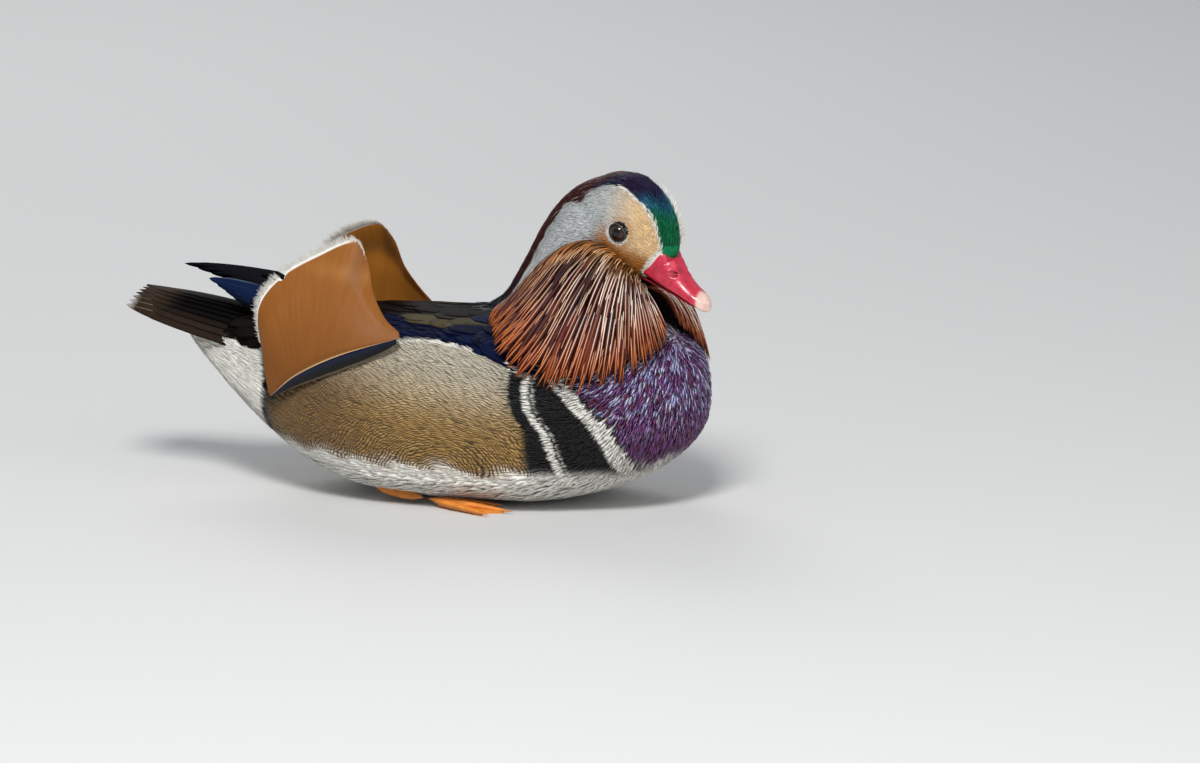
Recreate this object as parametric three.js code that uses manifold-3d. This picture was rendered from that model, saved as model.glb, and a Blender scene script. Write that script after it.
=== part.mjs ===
// A drake mandarin duck as a still, life-size model: it sits on its belly with the feet tucked
// under, as it floats on water, with the head turned a little to its right and both sails raised.
// Millimetres. +X is forward, +Y the bird's left, +Z up, and the floor is at z = 0.
import * as THREE from "three";
import { mergeVertices } from "three/addons/utils/BufferGeometryUtils.js";
import Module from "manifold-3d";

const wasm = await Module();
wasm.setup();

const { clamp, lerp, degToRad } = THREE.MathUtils;
const GAP = 0.35; // between neighbouring pieces
const THIN = 0.9; // half the thickness of a single feather
const MERGE = 1e-3; // vertices closer than this are one
const RIGHT = -1;
const LEFT = 1;

// Trunk, from the tips of the undertail to the front of the breast.
const TAIL_END = -152;
const BREAST_END = 135;
const BREAST_TURN = 88; // the breast starts to round off here
const UNDERTAIL_TURN = -138;
const BREAST_LEVEL = 58; // height of the foremost point
const UNDERTAIL_LEVEL = 84;
const WIDEST_SHARE = 0.46; // height of the widest level, as a share of the depth
const UPPER_FULLNESS = 2.35; // exponents of the section: 2 is an ellipse, more is boxier
const LOWER_FULLNESS = 2.6;
const TRUNK = [
  { at: -152, half: 7, top: 88, bottom: 81 },
  { at: -132, half: 19, top: 90, bottom: 60 },
  { at: -108, half: 32, top: 92, bottom: 37 },
  { at: -80, half: 47, top: 95, bottom: 16 },
  { at: -45, half: 58, top: 98, bottom: 2 },
  { at: 0, half: 63, top: 99, bottom: -2.5 },
  { at: 45, half: 61, top: 101, bottom: -2.5 },
  { at: 80, half: 53, top: 103, bottom: 5 },
  { at: 110, half: 44, top: 100, bottom: 17 },
  { at: 137, half: 36, top: 94, bottom: 30 },
];

// Upper edge of the flank patch, seen from the side, and the cuts that part the trunk.
const FLANK_EDGE = [
  { at: -92, z: 50 },
  { at: -60, z: 70 },
  { at: -37, z: 83 },
  { at: -10, z: 87.5 },
  { at: 24, z: 82 },
  { at: 56, z: 68 },
];
const FLANK_FLOOR = 13; // the belly begins below this
const FLANK_INNER = 25; // half width of the belly between the flanks
const WING_INNER = 17; // half width of the bare back between the wings
const WING_BACK = -66;
const BREAST_BACK = 57; // the barred side of the breast begins here
const UNDERTAIL_FRONT = -97;

// Neck, from inside the trunk to inside the head.
const NECK = [
  { at: 70, front: 112, back: 10, half: 38, y: 0 },
  { at: 90, front: 111, back: 19, half: 33, y: 0 },
  { at: 105, front: 106, back: 27, half: 27, y: -1 },
  { at: 120, front: 102, back: 37, half: 22, y: -3 },
  { at: 136, front: 104, back: 46, half: 19, y: -4 },
  { at: 158, front: 100, back: 60, half: 14, y: -5 },
];

// Head: an egg about the middle of the skull, in its own frame, with the bill along its +X.
const HEAD_AT = new THREE.Vector3(90, -6, 142);
const HEAD_TURN = -22; // degrees to the bird's right
const HEAD_NOD = 20; // degrees, bill down
const HEAD = { front: 34, back: 31, half: 20, up: 33, down: 22 };
const EYE = { x: 7, side: 14.3, z: 7, radius: 6.2 };

// Bill, in the head's frame. The commissure is the line between its two halves.
const BILL_TIP = 62.5;
const BILL_TURN = 53;
const NAIL_LENGTH = 9;
const UPPER_BILL = [
  { at: 18, half: 10, top: 11, bottom: -12 },
  { at: 30, half: 9.8, top: 9.5, bottom: -12.6 },
  { at: 36, half: 9, top: 3, bottom: -12.8 },
  { at: 42, half: 8.1, top: -2, bottom: -12.6 },
  { at: 49, half: 7.3, top: -5.4, bottom: -12.8 },
  { at: 56, half: 6.9, top: -7.2, bottom: -13.8 },
  { at: 62.5, half: 6.7, top: -9, bottom: -17 },
];
const LOWER_BILL = [
  { at: 16, half: 8.8, top: -12, bottom: -17 },
  { at: 38, half: 7.6, top: -12.4, bottom: -16.4 },
  { at: 58, half: 5.6, top: -13.8, bottom: -16 },
];

// Crest: the long feathers from the crown over the nape to the back. Points on its middle line.
const CREST_LINE = [
  [97, -9, 168],
  [78, -3, 167.5],
  [60, 1, 158.5],
  [46, 4, 142],
  [35, 5, 121],
  [24, 4, 106],
  [4, 2, 99.5],
];
const CREST = { half: 15, tipHalf: 5, thick: 5.2, tipThick: 2.6 };

// Ruff: roots round the cheek and tips round the breast, from the front to the nape. The left
// side falls further forward, because the head is turned away from it.
const RUFF = {
  right: {
    root: [
      [101, -18, 119],
      [94, -27, 132],
      [81, -26, 141],
      [62, -21, 138],
      [45, -17, 129],
      [32, -13, 112],
    ],
    tip: [
      [118, -20, 92],
      [112, -35, 81],
      [90, -52, 67],
      [63, -59, 65],
      [36, -55, 80],
      [25, -32, 97],
    ],
  },
  left: {
    root: [
      [107, -2, 119],
      [107, 8, 132],
      [95, 16, 141],
      [75, 21, 138],
      [50, 18, 129],
      [33, 14, 112],
    ],
    tip: [
      [129, 15, 76],
      [124, 33, 62],
      [98, 50, 60],
      [64, 59, 64],
      [36, 55, 80],
      [25, 32, 97],
    ],
  },
};
const RUFF_BULGE = 7;
const RUFF_THICK = 2.6;

// Sail: the upright inner wing feather of the left side, from its base to its tip.
const SAIL_SHAFT = [
  [-18, 49, 89.5],
  [-48, 54, 80],
  [-72, 53, 68],
  [-88, 48, 55],
];
const SAIL_EDGE = [
  [-19, 47, 92],
  [-28, 42, 98],
  [-36, 36, 110],
  [-41, 30, 125],
  [-49, 26, 135],
  [-67, 28, 127.5],
  [-86, 32, 116],
  [-97, 38, 100],
  [-94, 43, 78],
  [-89, 48, 57],
];
const SAIL_BULGE = 3;

// Folded primaries behind the sails: root and tip of the outermost, for each side.
const PRIMARIES = 3;
const PRIMARY_WIDTH = 9;
const WINGTIPS = {
  right: { side: RIGHT, root: [-84, -20, 99], tip: [-133, -8, 107] },
  left: { side: LEFT, root: [-84, 15, 102], tip: [-151, 7, 111] },
};

// Tail: a closed fan of rectrices.
const RECTRICES = 7;
const RECTRIX_WIDTH = 18;
const TAIL_ROOT = [-98, 0, 86];
const TAIL_TIP = [-176, 0, 97.5];
const TAIL_SPREAD = 18; // how far the outermost tips stand to the side
const TAIL_DROOP = 10; // and how far below the middle ones
const TAIL_STEP_BACK = 9; // and how much shorter they are

// Feet, for the left side: the toes fan forward from the joint, and the tarsus runs back from it.
const FOOT_JOINT = [-2, 40, 4];
const HEEL = [-38, 31, 7];
const TARSUS_RADIUS = 3;
const FOOT_TURN = 9; // degrees outward
const TOES = [
  { turn: -17, length: 36 },
  { turn: 2, length: 46 },
  { turn: 20, length: 40 },
];
const TOE_RADIUS = 2.6;
const WEB_THICK = 1.8;

const FINISH = {
  belly: { color: 0xe9e4d8, roughness: 0.85 },
  bill: { color: 0xc8324a, roughness: 0.4 },
  breast: { color: 0x4a2a52, roughness: 0.45 },
  crest: { color: 0x3c1a18, roughness: 0.55 },
  eye: { color: 0x1b1210, roughness: 0.1 },
  face: { color: 0xe0cda4, roughness: 0.8 },
  flank: { color: 0xb39a62, roughness: 0.75 },
  foot: { color: 0xd98a2e, roughness: 0.55 },
  nail: { color: 0xe8cdb8, roughness: 0.35 },
  neck: { color: 0x3a2018, roughness: 0.8 },
  primary: { color: 0x1f2f4c, roughness: 0.45 },
  ruff: { color: 0xa8562a, roughness: 0.6 },
  sail: { color: 0xc47a3a, roughness: 0.5 },
  tail: { color: 0x2b211c, roughness: 0.6 },
  undertail: { color: 0xf0eee8, roughness: 0.85 },
  wing: { color: 0x141c38, roughness: 0.4 },
};

// A function of the stations' at, through one of their columns, smooth like a spline.
function through(stations, column) {
  const last = stations.length - 1;
  const slope = (i) => {
    const a = stations[Math.max(i - 1, 0)];
    const b = stations[Math.min(i + 1, last)];
    return (b[column] - a[column]) / (b.at - a.at);
  };
  return (at) => {
    const found = stations.findIndex((s) => s.at > at);
    const i = clamp(found < 0 ? last : found, 1, last);
    const a = stations[i - 1];
    const b = stations[i];
    const gap = b.at - a.at;
    const t = clamp((at - a.at) / gap, 0, 1);
    const s = t * t * (3 - 2 * t);
    const bow = t * (1 - t) * gap * (slope(i - 1) * (1 - t) - slope(i) * t);
    return lerp(a[column], b[column], s) + bow;
  };
}

const columns = (stations, ...names) =>
  Object.fromEntries(names.map((name) => [name, through(stations, name)]));
const curve = (points) => new THREE.CatmullRomCurve3(points.map((p) => new THREE.Vector3(...p)));
const power = (value, exponent) => Math.sign(value) * Math.abs(value) ** exponent;
const rounding = (share, fullness) =>
  (1 - clamp(share, 0, 1) ** fullness) ** (1 / fullness);
const mirrored = (point, side) => point.setY(point.y * side);

// A geometry whose vertices are moved by place, as a solid that faces outwards.
function solid(geometry, place) {
  const position = geometry.getAttribute("position");
  const from = new THREE.Vector3();
  for (let i = 0; i < position.count; i++) {
    const to = place(from.fromBufferAttribute(position, i));
    position.setXYZ(i, to.x, to.y, to.z);
  }
  geometry.deleteAttribute("normal");
  geometry.deleteAttribute("uv");
  const merged = mergeVertices(geometry, MERGE);
  const vertProperties = merged.getAttribute("position").array;
  const triVerts = new Uint32Array(merged.index.array);
  const made = new wasm.Manifold(new wasm.Mesh({ numProp: 3, vertProperties, triVerts }));
  if (made.volume() > 0) return made;
  for (let i = 0; i < triVerts.length; i += 3) {
    [triVerts[i], triVerts[i + 1]] = [triVerts[i + 1], triVerts[i]];
  }
  return new wasm.Manifold(new wasm.Mesh({ numProp: 3, vertProperties, triVerts }));
}

// A closed shell pushed out of a sphere: u runs from pole to pole and angle goes round.
function shell(around, along, place) {
  return solid(new THREE.SphereGeometry(1, around, along), (p) =>
    place(Math.acos(clamp(p.y, -1, 1)) / Math.PI, Math.atan2(p.z, p.x)),
  );
}

// A thin closed plate pushed out of a box: u and v run from 0 to 1, side is -1 or 1.
function plate(long, wide, place) {
  return solid(new THREE.BoxGeometry(1, 1, 1, long, wide, 1), (p) =>
    place(p.x + 0.5, p.y + 0.5, Math.sign(p.z)),
  );
}

// A straight box between two corners.
function block(low, high) {
  return solid(new THREE.BoxGeometry(1, 1, 1), (p) =>
    new THREE.Vector3(...low.map((from, i) => lerp(from, high[i], p.getComponent(i) + 0.5))),
  );
}

// The space between a lower and an upper line in side view, over a range of x and of y.
function slab(xs, ys, lower, upper, steps) {
  return solid(new THREE.BoxGeometry(1, 1, 1, steps, 1, 1), (p) => {
    const x = lerp(xs[0], xs[1], p.x + 0.5);
    const y = lerp(ys[0], ys[1], p.y + 0.5);
    return new THREE.Vector3(x, y, p.z < 0 ? lower(x) : upper(x));
  });
}

// A tapered rod with round ends.
function rod(from, to, radius, tipRadius, around = 6, along = 5) {
  const line = to.clone().sub(from);
  const side = new THREE.Vector3(-line.y, line.x, 0).normalize();
  const up = new THREE.Vector3().crossVectors(line, side).normalize();
  return shell(around, along, (u, angle) => {
    const round = Math.sin(Math.PI * u) ** 0.5;
    const r = lerp(radius, tipRadius, u) * round;
    return from
      .clone()
      .addScaledVector(line, u)
      .addScaledVector(side, r * Math.cos(angle))
      .addScaledVector(up, r * Math.sin(angle));
  });
}

const union = (solids) => solids.reduce((all, one) => all.add(one));
const without = (body, ...others) => others.reduce((left, other) => left.subtract(other), body);
const largest = (body) =>
  body.decompose().reduce((best, one) => (one.volume() > best.volume() ? one : best));

const headFrame = new THREE.Matrix4().compose(
  HEAD_AT,
  new THREE.Quaternion().setFromEuler(
    new THREE.Euler(0, degToRad(HEAD_NOD), degToRad(HEAD_TURN), "ZYX"),
  ),
  new THREE.Vector3(1, 1, 1),
);
const inHead = (x, y, z) => new THREE.Vector3(x, y, z).applyMatrix4(headFrame);

// The trunk, wings and flanks in one: sections that are rounder above than below.
const trunk = columns(TRUNK, "half", "top", "bottom");
function wholeTrunk(grow) {
  return shell(28, 18, (u, angle) => {
    const x = lerp(TAIL_END - grow, BREAST_END + grow, (1 - Math.cos(Math.PI * u)) / 2);
    const share =
      x > 0
        ? (x - BREAST_TURN) / (BREAST_END + grow - BREAST_TURN)
        : (UNDERTAIL_TURN - x) / (UNDERTAIL_TURN - TAIL_END + grow);
    const tall = rounding(share, x > 0 ? 3 : 2);
    const wide = rounding(share, 2.2);
    const level = x > 0 ? BREAST_LEVEL : UNDERTAIL_LEVEL;
    const top = level + (trunk.top(x) + grow - level) * tall;
    const bottom = level + (trunk.bottom(x) - grow - level) * tall;
    const widest = lerp(bottom, top, WIDEST_SHARE);
    const up = Math.sin(angle) > 0;
    const exponent = 2 / (up ? UPPER_FULLNESS : LOWER_FULLNESS);
    const reach = up ? top - widest : widest - bottom;
    return new THREE.Vector3(
      x,
      (trunk.half(x) + grow) * wide * power(Math.cos(angle), exponent),
      widest + reach * power(Math.sin(angle), exponent),
    );
  });
}

const neck = columns(NECK, "front", "back", "half", "y");
function neckColumn(grow) {
  const low = NECK[0].at;
  const high = NECK.at(-1).at;
  return shell(20, 10, (u, angle) => {
    const z = lerp(low, high, (1 - Math.cos(Math.PI * u)) / 2);
    const closing = Math.min(1, Math.sin(Math.PI * u) * 2.5);
    const middle = (neck.front(z) + neck.back(z)) / 2;
    const long = (neck.front(z) - neck.back(z)) / 2 + grow;
    return new THREE.Vector3(
      middle + long * closing * Math.cos(angle),
      neck.y(z) + (neck.half(z) + grow) * closing * Math.sin(angle),
      z,
    );
  });
}

function skull(grow) {
  return shell(20, 14, (u, angle) => {
    const level = Math.sin(Math.PI * u);
    const x = Math.cos(Math.PI * u);
    const y = level * Math.cos(angle);
    const z = level * Math.sin(angle);
    return inHead(
      x * ((x > 0 ? HEAD.front : HEAD.back) + grow),
      y * (HEAD.half + grow),
      z * ((z > 0 ? HEAD.up : HEAD.down) + grow),
    );
  });
}

function eyeball(side, grow) {
  return solid(new THREE.SphereGeometry(EYE.radius + grow, 12, 7), (p) =>
    inHead(EYE.x + p.x, EYE.side * side + p.y, EYE.z + p.z),
  );
}

// Half of the bill: its section is round above and flatter along the commissure.
function mandible(stations, grow, fullness) {
  const size = columns(stations, "half", "top", "bottom");
  const from = stations[0].at - grow;
  const to = stations.at(-1).at + grow;
  return shell(12, 12, (u, angle) => {
    const x = lerp(from, to, (1 - Math.cos(Math.PI * u)) / 2);
    const share = (x - BILL_TURN) / (to - BILL_TURN);
    const backShare = (from + 4 - x) / 4;
    const round = rounding(share, 2) * rounding(backShare, 2);
    const top = size.top(x) + grow;
    const bottom = size.bottom(x) - grow;
    const middle = lerp(bottom, top, 0.3 + 0.2 * clamp(share, 0, 1));
    const up = Math.sin(angle) > 0;
    const reach = (up ? top - middle : middle - bottom) * round;
    return inHead(
      x,
      (size.half(x) + grow) * round * power(Math.cos(angle), 2 / fullness),
      middle + reach * power(Math.sin(angle), 2 / fullness),
    );
  });
}

// The nail: what of the upper bill lies beyond a slanting plane near its tip.
const nailSpace = (gap) =>
  solid(new THREE.BoxGeometry(1, 1, 1), (p) => {
    const slant = p.z > 0 ? 2 : 0;
    const x = p.x < 0 ? BILL_TIP - NAIL_LENGTH + slant - gap : BILL_TIP + 5;
    return inHead(x, p.y * 30, -15 + p.z * 30);
  });

const crestLine = curve(CREST_LINE);
function crestBody() {
  return shell(10, 12, (u, angle) => {
    const at = crestLine.getPoint(u);
    const ahead = crestLine.getTangent(u);
    const side = new THREE.Vector3(0, 1, 0).cross(ahead).cross(ahead).normalize();
    const up = new THREE.Vector3().crossVectors(ahead, side).normalize();
    const round = Math.sin(Math.PI * u) ** 0.5;
    const half = lerp(CREST.half, CREST.tipHalf, u) * round;
    const thick = lerp(CREST.thick, CREST.tipThick, u) * round;
    return at
      .addScaledVector(side, half * Math.cos(angle))
      .addScaledVector(up, thick * Math.sin(angle));
  });
}

function ruffShield({ root, tip }, side) {
  const roots = curve(root);
  const tips = curve(tip);
  const along = (u, v) => {
    const bulge = RUFF_BULGE * 4 * v * (1 - v);
    return roots
      .getPoint(u)
      .lerp(tips.getPoint(u), v)
      .add(new THREE.Vector3(0, side * bulge * 0.7, bulge * 0.5));
  };
  return plate(13, 5, (u, v, face) => {
    const step = 0.02;
    const here = along(u, v);
    const across = along(Math.min(u + step, 1), v).sub(along(Math.max(u - step, 0), v));
    const down = along(u, Math.min(v + step, 1)).sub(along(u, Math.max(v - step, 0)));
    const out = across.cross(down).normalize();
    if (out.y * side < 0) out.negate();
    const thick = lerp(THIN, RUFF_THICK, Math.sin(Math.PI * clamp(v, 0.02, 0.85)));
    return here.addScaledVector(out, face * thick);
  });
}

const sailShaft = curve(SAIL_SHAFT);
const sailEdge = curve(SAIL_EDGE);
function sail(side) {
  return plate(12, 6, (u, v, face) => {
    const shaft = sailShaft.getPoint(u);
    const edge = sailEdge.getPoint(u);
    const at = shaft.lerp(edge, v);
    at.y += SAIL_BULGE * 4 * v * (1 - v) * Math.sin(Math.PI * u) + face * THIN;
    return mirrored(at, side);
  });
}

// One flight feather: a lens-shaped vane from root to tip with its flat side facing up.
function feather(root, tip, width, up) {
  const line = tip.clone().sub(root);
  const across = new THREE.Vector3().crossVectors(up, line).normalize();
  return plate(5, 1, (u, v, face) => {
    const outline = 0.35 + 0.65 * Math.sin(Math.PI * lerp(0.12, 0.93, u)) ** 0.6;
    const tipCut = u > 0.9 ? 0.55 : 1;
    return root
      .clone()
      .addScaledVector(line, u)
      .addScaledVector(across, (v - 0.5) * width * outline * tipCut)
      .addScaledVector(up, face * THIN * 0.8);
  });
}

// A stack of primaries that stand nearly upright behind a sail, each a little shorter.
function wingtip({ side, root, tip }) {
  const from = new THREE.Vector3(...root);
  const to = new THREE.Vector3(...tip);
  const up = new THREE.Vector3(0.05, side * 0.85, 0.45).normalize();
  const feathers = Array.from({ length: PRIMARIES }, (_, i) => {
    const shorter = to.clone().lerp(from, i * 0.15);
    const sink = new THREE.Vector3(0, side * 1.3 * i, -2.8 * i);
    return feather(from.clone().add(sink), shorter.add(sink), PRIMARY_WIDTH, up);
  });
  return union(feathers);
}

function tailFan() {
  const middle = (RECTRICES - 1) / 2;
  const feathers = Array.from({ length: RECTRICES }, (_, i) => {
    const share = (i - middle) / middle;
    const lower = TAIL_DROOP * share * share;
    const lean = (1.6 * TAIL_DROOP * share) / TAIL_SPREAD;
    const up = new THREE.Vector3(0.14, lean, 1).normalize();
    const root = new THREE.Vector3(...TAIL_ROOT).add(
      new THREE.Vector3(0, share * 14, -lower * 0.8),
    );
    const tip = new THREE.Vector3(...TAIL_TIP).add(
      new THREE.Vector3(TAIL_STEP_BACK * share * share, share * TAIL_SPREAD, -lower),
    );
    return feather(root, tip, RECTRIX_WIDTH, up);
  });
  return union(feathers);
}

// A foot lying flat: three toes joined by a web, trimmed level at the floor.
const floorBelow = block([-200, -200, -60], [200, 200, 0]);
function toePoint(side, { turn, length }, share) {
  const angle = degToRad(FOOT_TURN + turn);
  const reach = length * share;
  return new THREE.Vector3(
    FOOT_JOINT[0] + reach * Math.cos(angle),
    side * (FOOT_JOINT[1] + reach * Math.sin(angle)),
    lerp(TOE_RADIUS * 0.8, TOE_RADIUS * 0.55, share),
  );
}

function foot(side, grow) {
  const joint = mirrored(new THREE.Vector3(...FOOT_JOINT), side);
  const toes = TOES.map((toe) =>
    rod(joint.clone().setX(joint.x - 4), toePoint(side, toe, 1), TOE_RADIUS + grow, 1.1 + grow),
  );
  const webs = TOES.slice(1).map((toe, i) =>
    plate(4, 2, (u, v, face) => {
      const reach = lerp(0.05, 0.86 - 0.16 * Math.sin(Math.PI * v), u);
      const at = toePoint(side, TOES[i], reach).lerp(toePoint(side, toe, reach), v);
      return at.setZ(face < 0 ? -grow : WEB_THICK + grow);
    }),
  );
  return union([...toes, ...webs]);
}

function tarsus(side, grow) {
  const joint = mirrored(new THREE.Vector3(...FOOT_JOINT), side).setX(FOOT_JOINT[0] - 6);
  const heel = mirrored(new THREE.Vector3(...HEEL), side);
  return rod(joint, heel, TARSUS_RADIUS + grow, TARSUS_RADIUS + grow);
}

const model = new THREE.Group();

function add(name, finish, body) {
  const mesh = largest(body).getMesh();
  const count = mesh.numVert * 3;
  const geometry = new THREE.BufferGeometry();
  geometry.setAttribute(
    "position",
    new THREE.BufferAttribute(mesh.vertProperties.slice(0, count), 3),
  );
  geometry.setIndex(new THREE.BufferAttribute(mesh.triVerts, 1));
  geometry.computeVertexNormals();
  const material = new THREE.MeshStandardMaterial({ metalness: 0, ...FINISH[finish] });
  const node = new THREE.Mesh(geometry, material);
  node.name = name;
  model.add(node);
}

const sides = [
  ["right", RIGHT],
  ["left", LEFT],
];
const whole = wholeTrunk(0);
const wholeClear = wholeTrunk(GAP);
const head = skull(0);
const headClear = skull(GAP);
const neckClear = neckColumn(GAP);
const upperBill = mandible(UPPER_BILL, 0, 2.3);
const flankEdge = through(FLANK_EDGE, "z");
const span = (side, inner) => [side * inner, side * 90];
const always = (z) => () => z;

// The trunk is parted by thin cuts into breast, undertail, wings, flanks and the core.
const breastSpace = (gap) =>
  slab([BREAST_BACK - gap, 200], [-90, 90], always(-50), always(200), 1);
const undertailSpace = (gap) =>
  slab([-200, UNDERTAIL_FRONT + gap], [-90, 90], always(-50), always(200), 1);
const flankSpace = (side, gap) =>
  slab(
    [FLANK_EDGE[0].at, BREAST_BACK],
    span(side, FLANK_INNER - gap),
    always(FLANK_FLOOR - gap),
    (x) => flankEdge(x) + gap,
    10,
  );
const wingSpace = (side, gap) =>
  slab(
    [WING_BACK - gap, BREAST_BACK],
    span(side, WING_INNER - gap),
    (x) => flankEdge(x) + GAP - gap,
    always(150),
    10,
  );
const feet = sides.flatMap(([, side]) => [foot(side, GAP), tarsus(side, GAP)]);
const carved = without(whole, floorBelow, ...feet);
const core = without(carved, breastSpace(GAP), undertailSpace(GAP));

add("breast", "breast", carved.intersect(breastSpace(0)));
add("undertail", "undertail", carved.intersect(undertailSpace(0)));
add(
  "trunk",
  "belly",
  without(core, ...sides.flatMap(([, side]) => [flankSpace(side, GAP), wingSpace(side, GAP)])),
);
add("neck", "neck", without(neckColumn(0), wholeClear, headClear));
add(
  "head",
  "face",
  without(head, ...sides.map(([, side]) => eyeball(side, GAP)), mandible(UPPER_BILL, GAP, 2.3),
    mandible(LOWER_BILL, GAP, 2.3)),
);
add("crest", "crest", without(crestBody(), wholeClear, headClear, neckClear));
add("bill_upper", "bill", without(upperBill, nailSpace(GAP)));
add("bill_nail", "nail", upperBill.intersect(nailSpace(0)));
add("bill_lower", "bill", without(mandible(LOWER_BILL, 0, 2.3), mandible(UPPER_BILL, GAP, 2.3)));
const tail = tailFan();
const tips = sides.map(([name]) => wingtip(WINGTIPS[name]));
add("tail", "tail", without(tail, wholeClear));
sides.forEach(([name, side], i) => {
  add(`eye_${name}`, "eye", eyeball(side, 0));
  add(`flank_${name}`, "flank", core.intersect(flankSpace(side, 0)));
  add(`wing_${name}`, "wing", core.intersect(wingSpace(side, 0)));
  add(`ruff_${name}`, "ruff", without(ruffShield(RUFF[name], side), wholeClear, neckClear, headClear));
  add(`sail_${name}`, "sail", without(sail(side), wholeClear));
  add(`wingtip_${name}`, "primary", without(tips[i], wholeClear, sail(side)));
  add(`foot_${name}`, "foot", without(foot(side, 0), floorBelow));
  add(`leg_${name}`, "foot", without(tarsus(side, 0), foot(side, GAP), floorBelow));
});

export default model;
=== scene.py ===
"""A life-size drake mandarin duck that rests on its belly, in Blender 4.5.

One skin carries small closed vanes that follow the lie of the plumage. The ruff, the sails, the
flight and tail feathers, the bill, the eyes and the feet are pieces of their own. Shapes are
worked out in millimetres and put into the meshes in metres.
"""

import itertools

import bpy
import numpy as np
from mathutils import Matrix, Vector


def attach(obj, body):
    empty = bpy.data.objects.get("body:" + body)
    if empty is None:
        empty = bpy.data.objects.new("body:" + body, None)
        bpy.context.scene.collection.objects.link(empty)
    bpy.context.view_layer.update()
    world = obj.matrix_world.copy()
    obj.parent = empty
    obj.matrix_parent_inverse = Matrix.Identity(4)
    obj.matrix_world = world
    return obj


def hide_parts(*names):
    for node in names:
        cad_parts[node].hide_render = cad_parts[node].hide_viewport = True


bl_info = {
    "name": "Mandarin drake",
    "version": (1, 0, 0),
    "blender": (4, 5, 0),
    "location": "3D View > Sidebar > Mandarin drake",
    "description": "Builds a resting mandarin drake with its plumage, bill, eyes, feet and stage",
    "category": "Add Mesh",
}

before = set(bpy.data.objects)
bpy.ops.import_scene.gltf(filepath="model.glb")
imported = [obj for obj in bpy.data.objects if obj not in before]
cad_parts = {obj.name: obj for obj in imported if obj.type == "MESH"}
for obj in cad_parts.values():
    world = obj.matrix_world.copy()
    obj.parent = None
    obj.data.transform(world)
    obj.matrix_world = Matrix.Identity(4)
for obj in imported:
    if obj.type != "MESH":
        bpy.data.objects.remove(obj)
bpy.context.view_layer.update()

MM = 0.001
SIDES = {"right": -1, "left": 1}
UP = np.array([0.0, 0.0, 1.0])

# Trunk stations from tail to breast: place, half width, top and bottom.
TRUNK = np.array([
    (-152, 7, 88, 81), (-132, 19, 90, 60), (-108, 32, 92, 37), (-80, 47, 95, 16), (-45, 58, 98, 2),
    (0, 63, 99, -2.5), (45, 61, 101, -2.5), (80, 53, 103, 5), (110, 44, 100, 17), (137, 36, 94, 30),
])

# The trunk's two ends, where they start to round off, the levels they close at, the share of the
# height at which it is widest, how far it sinks under the neck, and its sections' exponents.
TAIL_END = -152
BREAST_END = 135
BREAST_TURN = 88
UNDERTAIL_TURN = -138
BREAST_LEVEL = 58
UNDERTAIL_LEVEL = 84
WIDEST_SHARE = 0.46
NECK_BED = 3.5
ROUNDNESS = {"above": 2.35, "below": 2.6}

# Neck stations by height: front, back, half width and middle.
NECK = np.array([
    (70, 112, 10, 38, 0), (90, 111, 19, 33, 0), (105, 106, 27, 27, -1), (120, 102, 37, 22, -3),
    (136, 104, 46, 19, -4), (158, 100, 60, 14, -5),
])

# The head's own frame: X along the bill, Y to its left, Z up, about the middle of the skull.
HEAD_AT = np.array([90.0, -6.0, 142.0])
HEAD_TURN = np.radians(-22)
HEAD_NOD = np.radians(20)
SKULL = {"front": 34, "back": 31, "half": 20, "up": 33, "down": 22}
BROW_POINT = {"reach": 1.9, "level": 6, "height": 4, "half": 6}
EYE = np.array([7.0, 14.3, 7.0])
EYE_RADIUS = 6.2

# The middle line from the bill over the crown and down the crest, with its first points in the
# head's frame, the half width of the dark crown along it, the number of steps in which it is
# searched, half the height of the crest's core, and how deep under the line the crest reaches.
MIDLINE_HEAD = np.array([(34, 0, 4), (31, 0, 14), (22, 0, 26), (8, 0, 33), (-8, 0, 31.5)])
MIDLINE_NAPE = np.array([
    (74, -2, 170), (60, 1, 162), (46, 4, 146), (32, 5, 121), (21, 4, 104), (5, 2, 99),
])
CROWN_HALF = np.array([7.5, 8.5, 9.6, 10.6, 10.4, 9.8, 9.0, 8.4, 7.4, 6.2, 5.0])
MIDLINE_STEPS = 161
CREST_CORE = 4.2
CREST_DEPTH = 4.5

# How much narrower the dark crown is on the left, at the brow and at the nape.
LEFT_BROW = 3.8
LEFT_NAPE = 3.5

# Upper edge of the flank in side view, the two white bars at the side of the breast, the level
# below which they run steeper, and how far in front of them the purple starts.
FLANK_EDGE = np.array([(-92, 50), (-60, 70), (-37, 83), (-10, 87.5), (24, 84), (40, 77.5), (57, 68)])
REAR_BAR = {"at": 50.0, "bow": 0.02, "level": 68}
FRONT_BAR = {"at": 76.2, "slant": 0.88, "level": 60}
BAR_BEND = 45
BREAST_EDGE = 4.6

# The flank's fine lines: their pitch at the middle, its fall for each millimetre away from it,
# the least pitch, that middle's place, and how much longer than high the rings round it are.
PITCH = 1.42
PITCH_FALL = 0.0105
LEAST_PITCH = 0.5
FLANK_MIDDLE = (4, 22)
FLANK_STRETCH = 1.6

# How far large and small noise bend those lines, how sharp and how dark they are, and how much
# of that they lose with each metre of height.
FLANK_LINES = {"bend": 6.0, "wave": 1.1, "sharp": 1.6, "dark": 1.36, "fade": -9.5}

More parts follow.
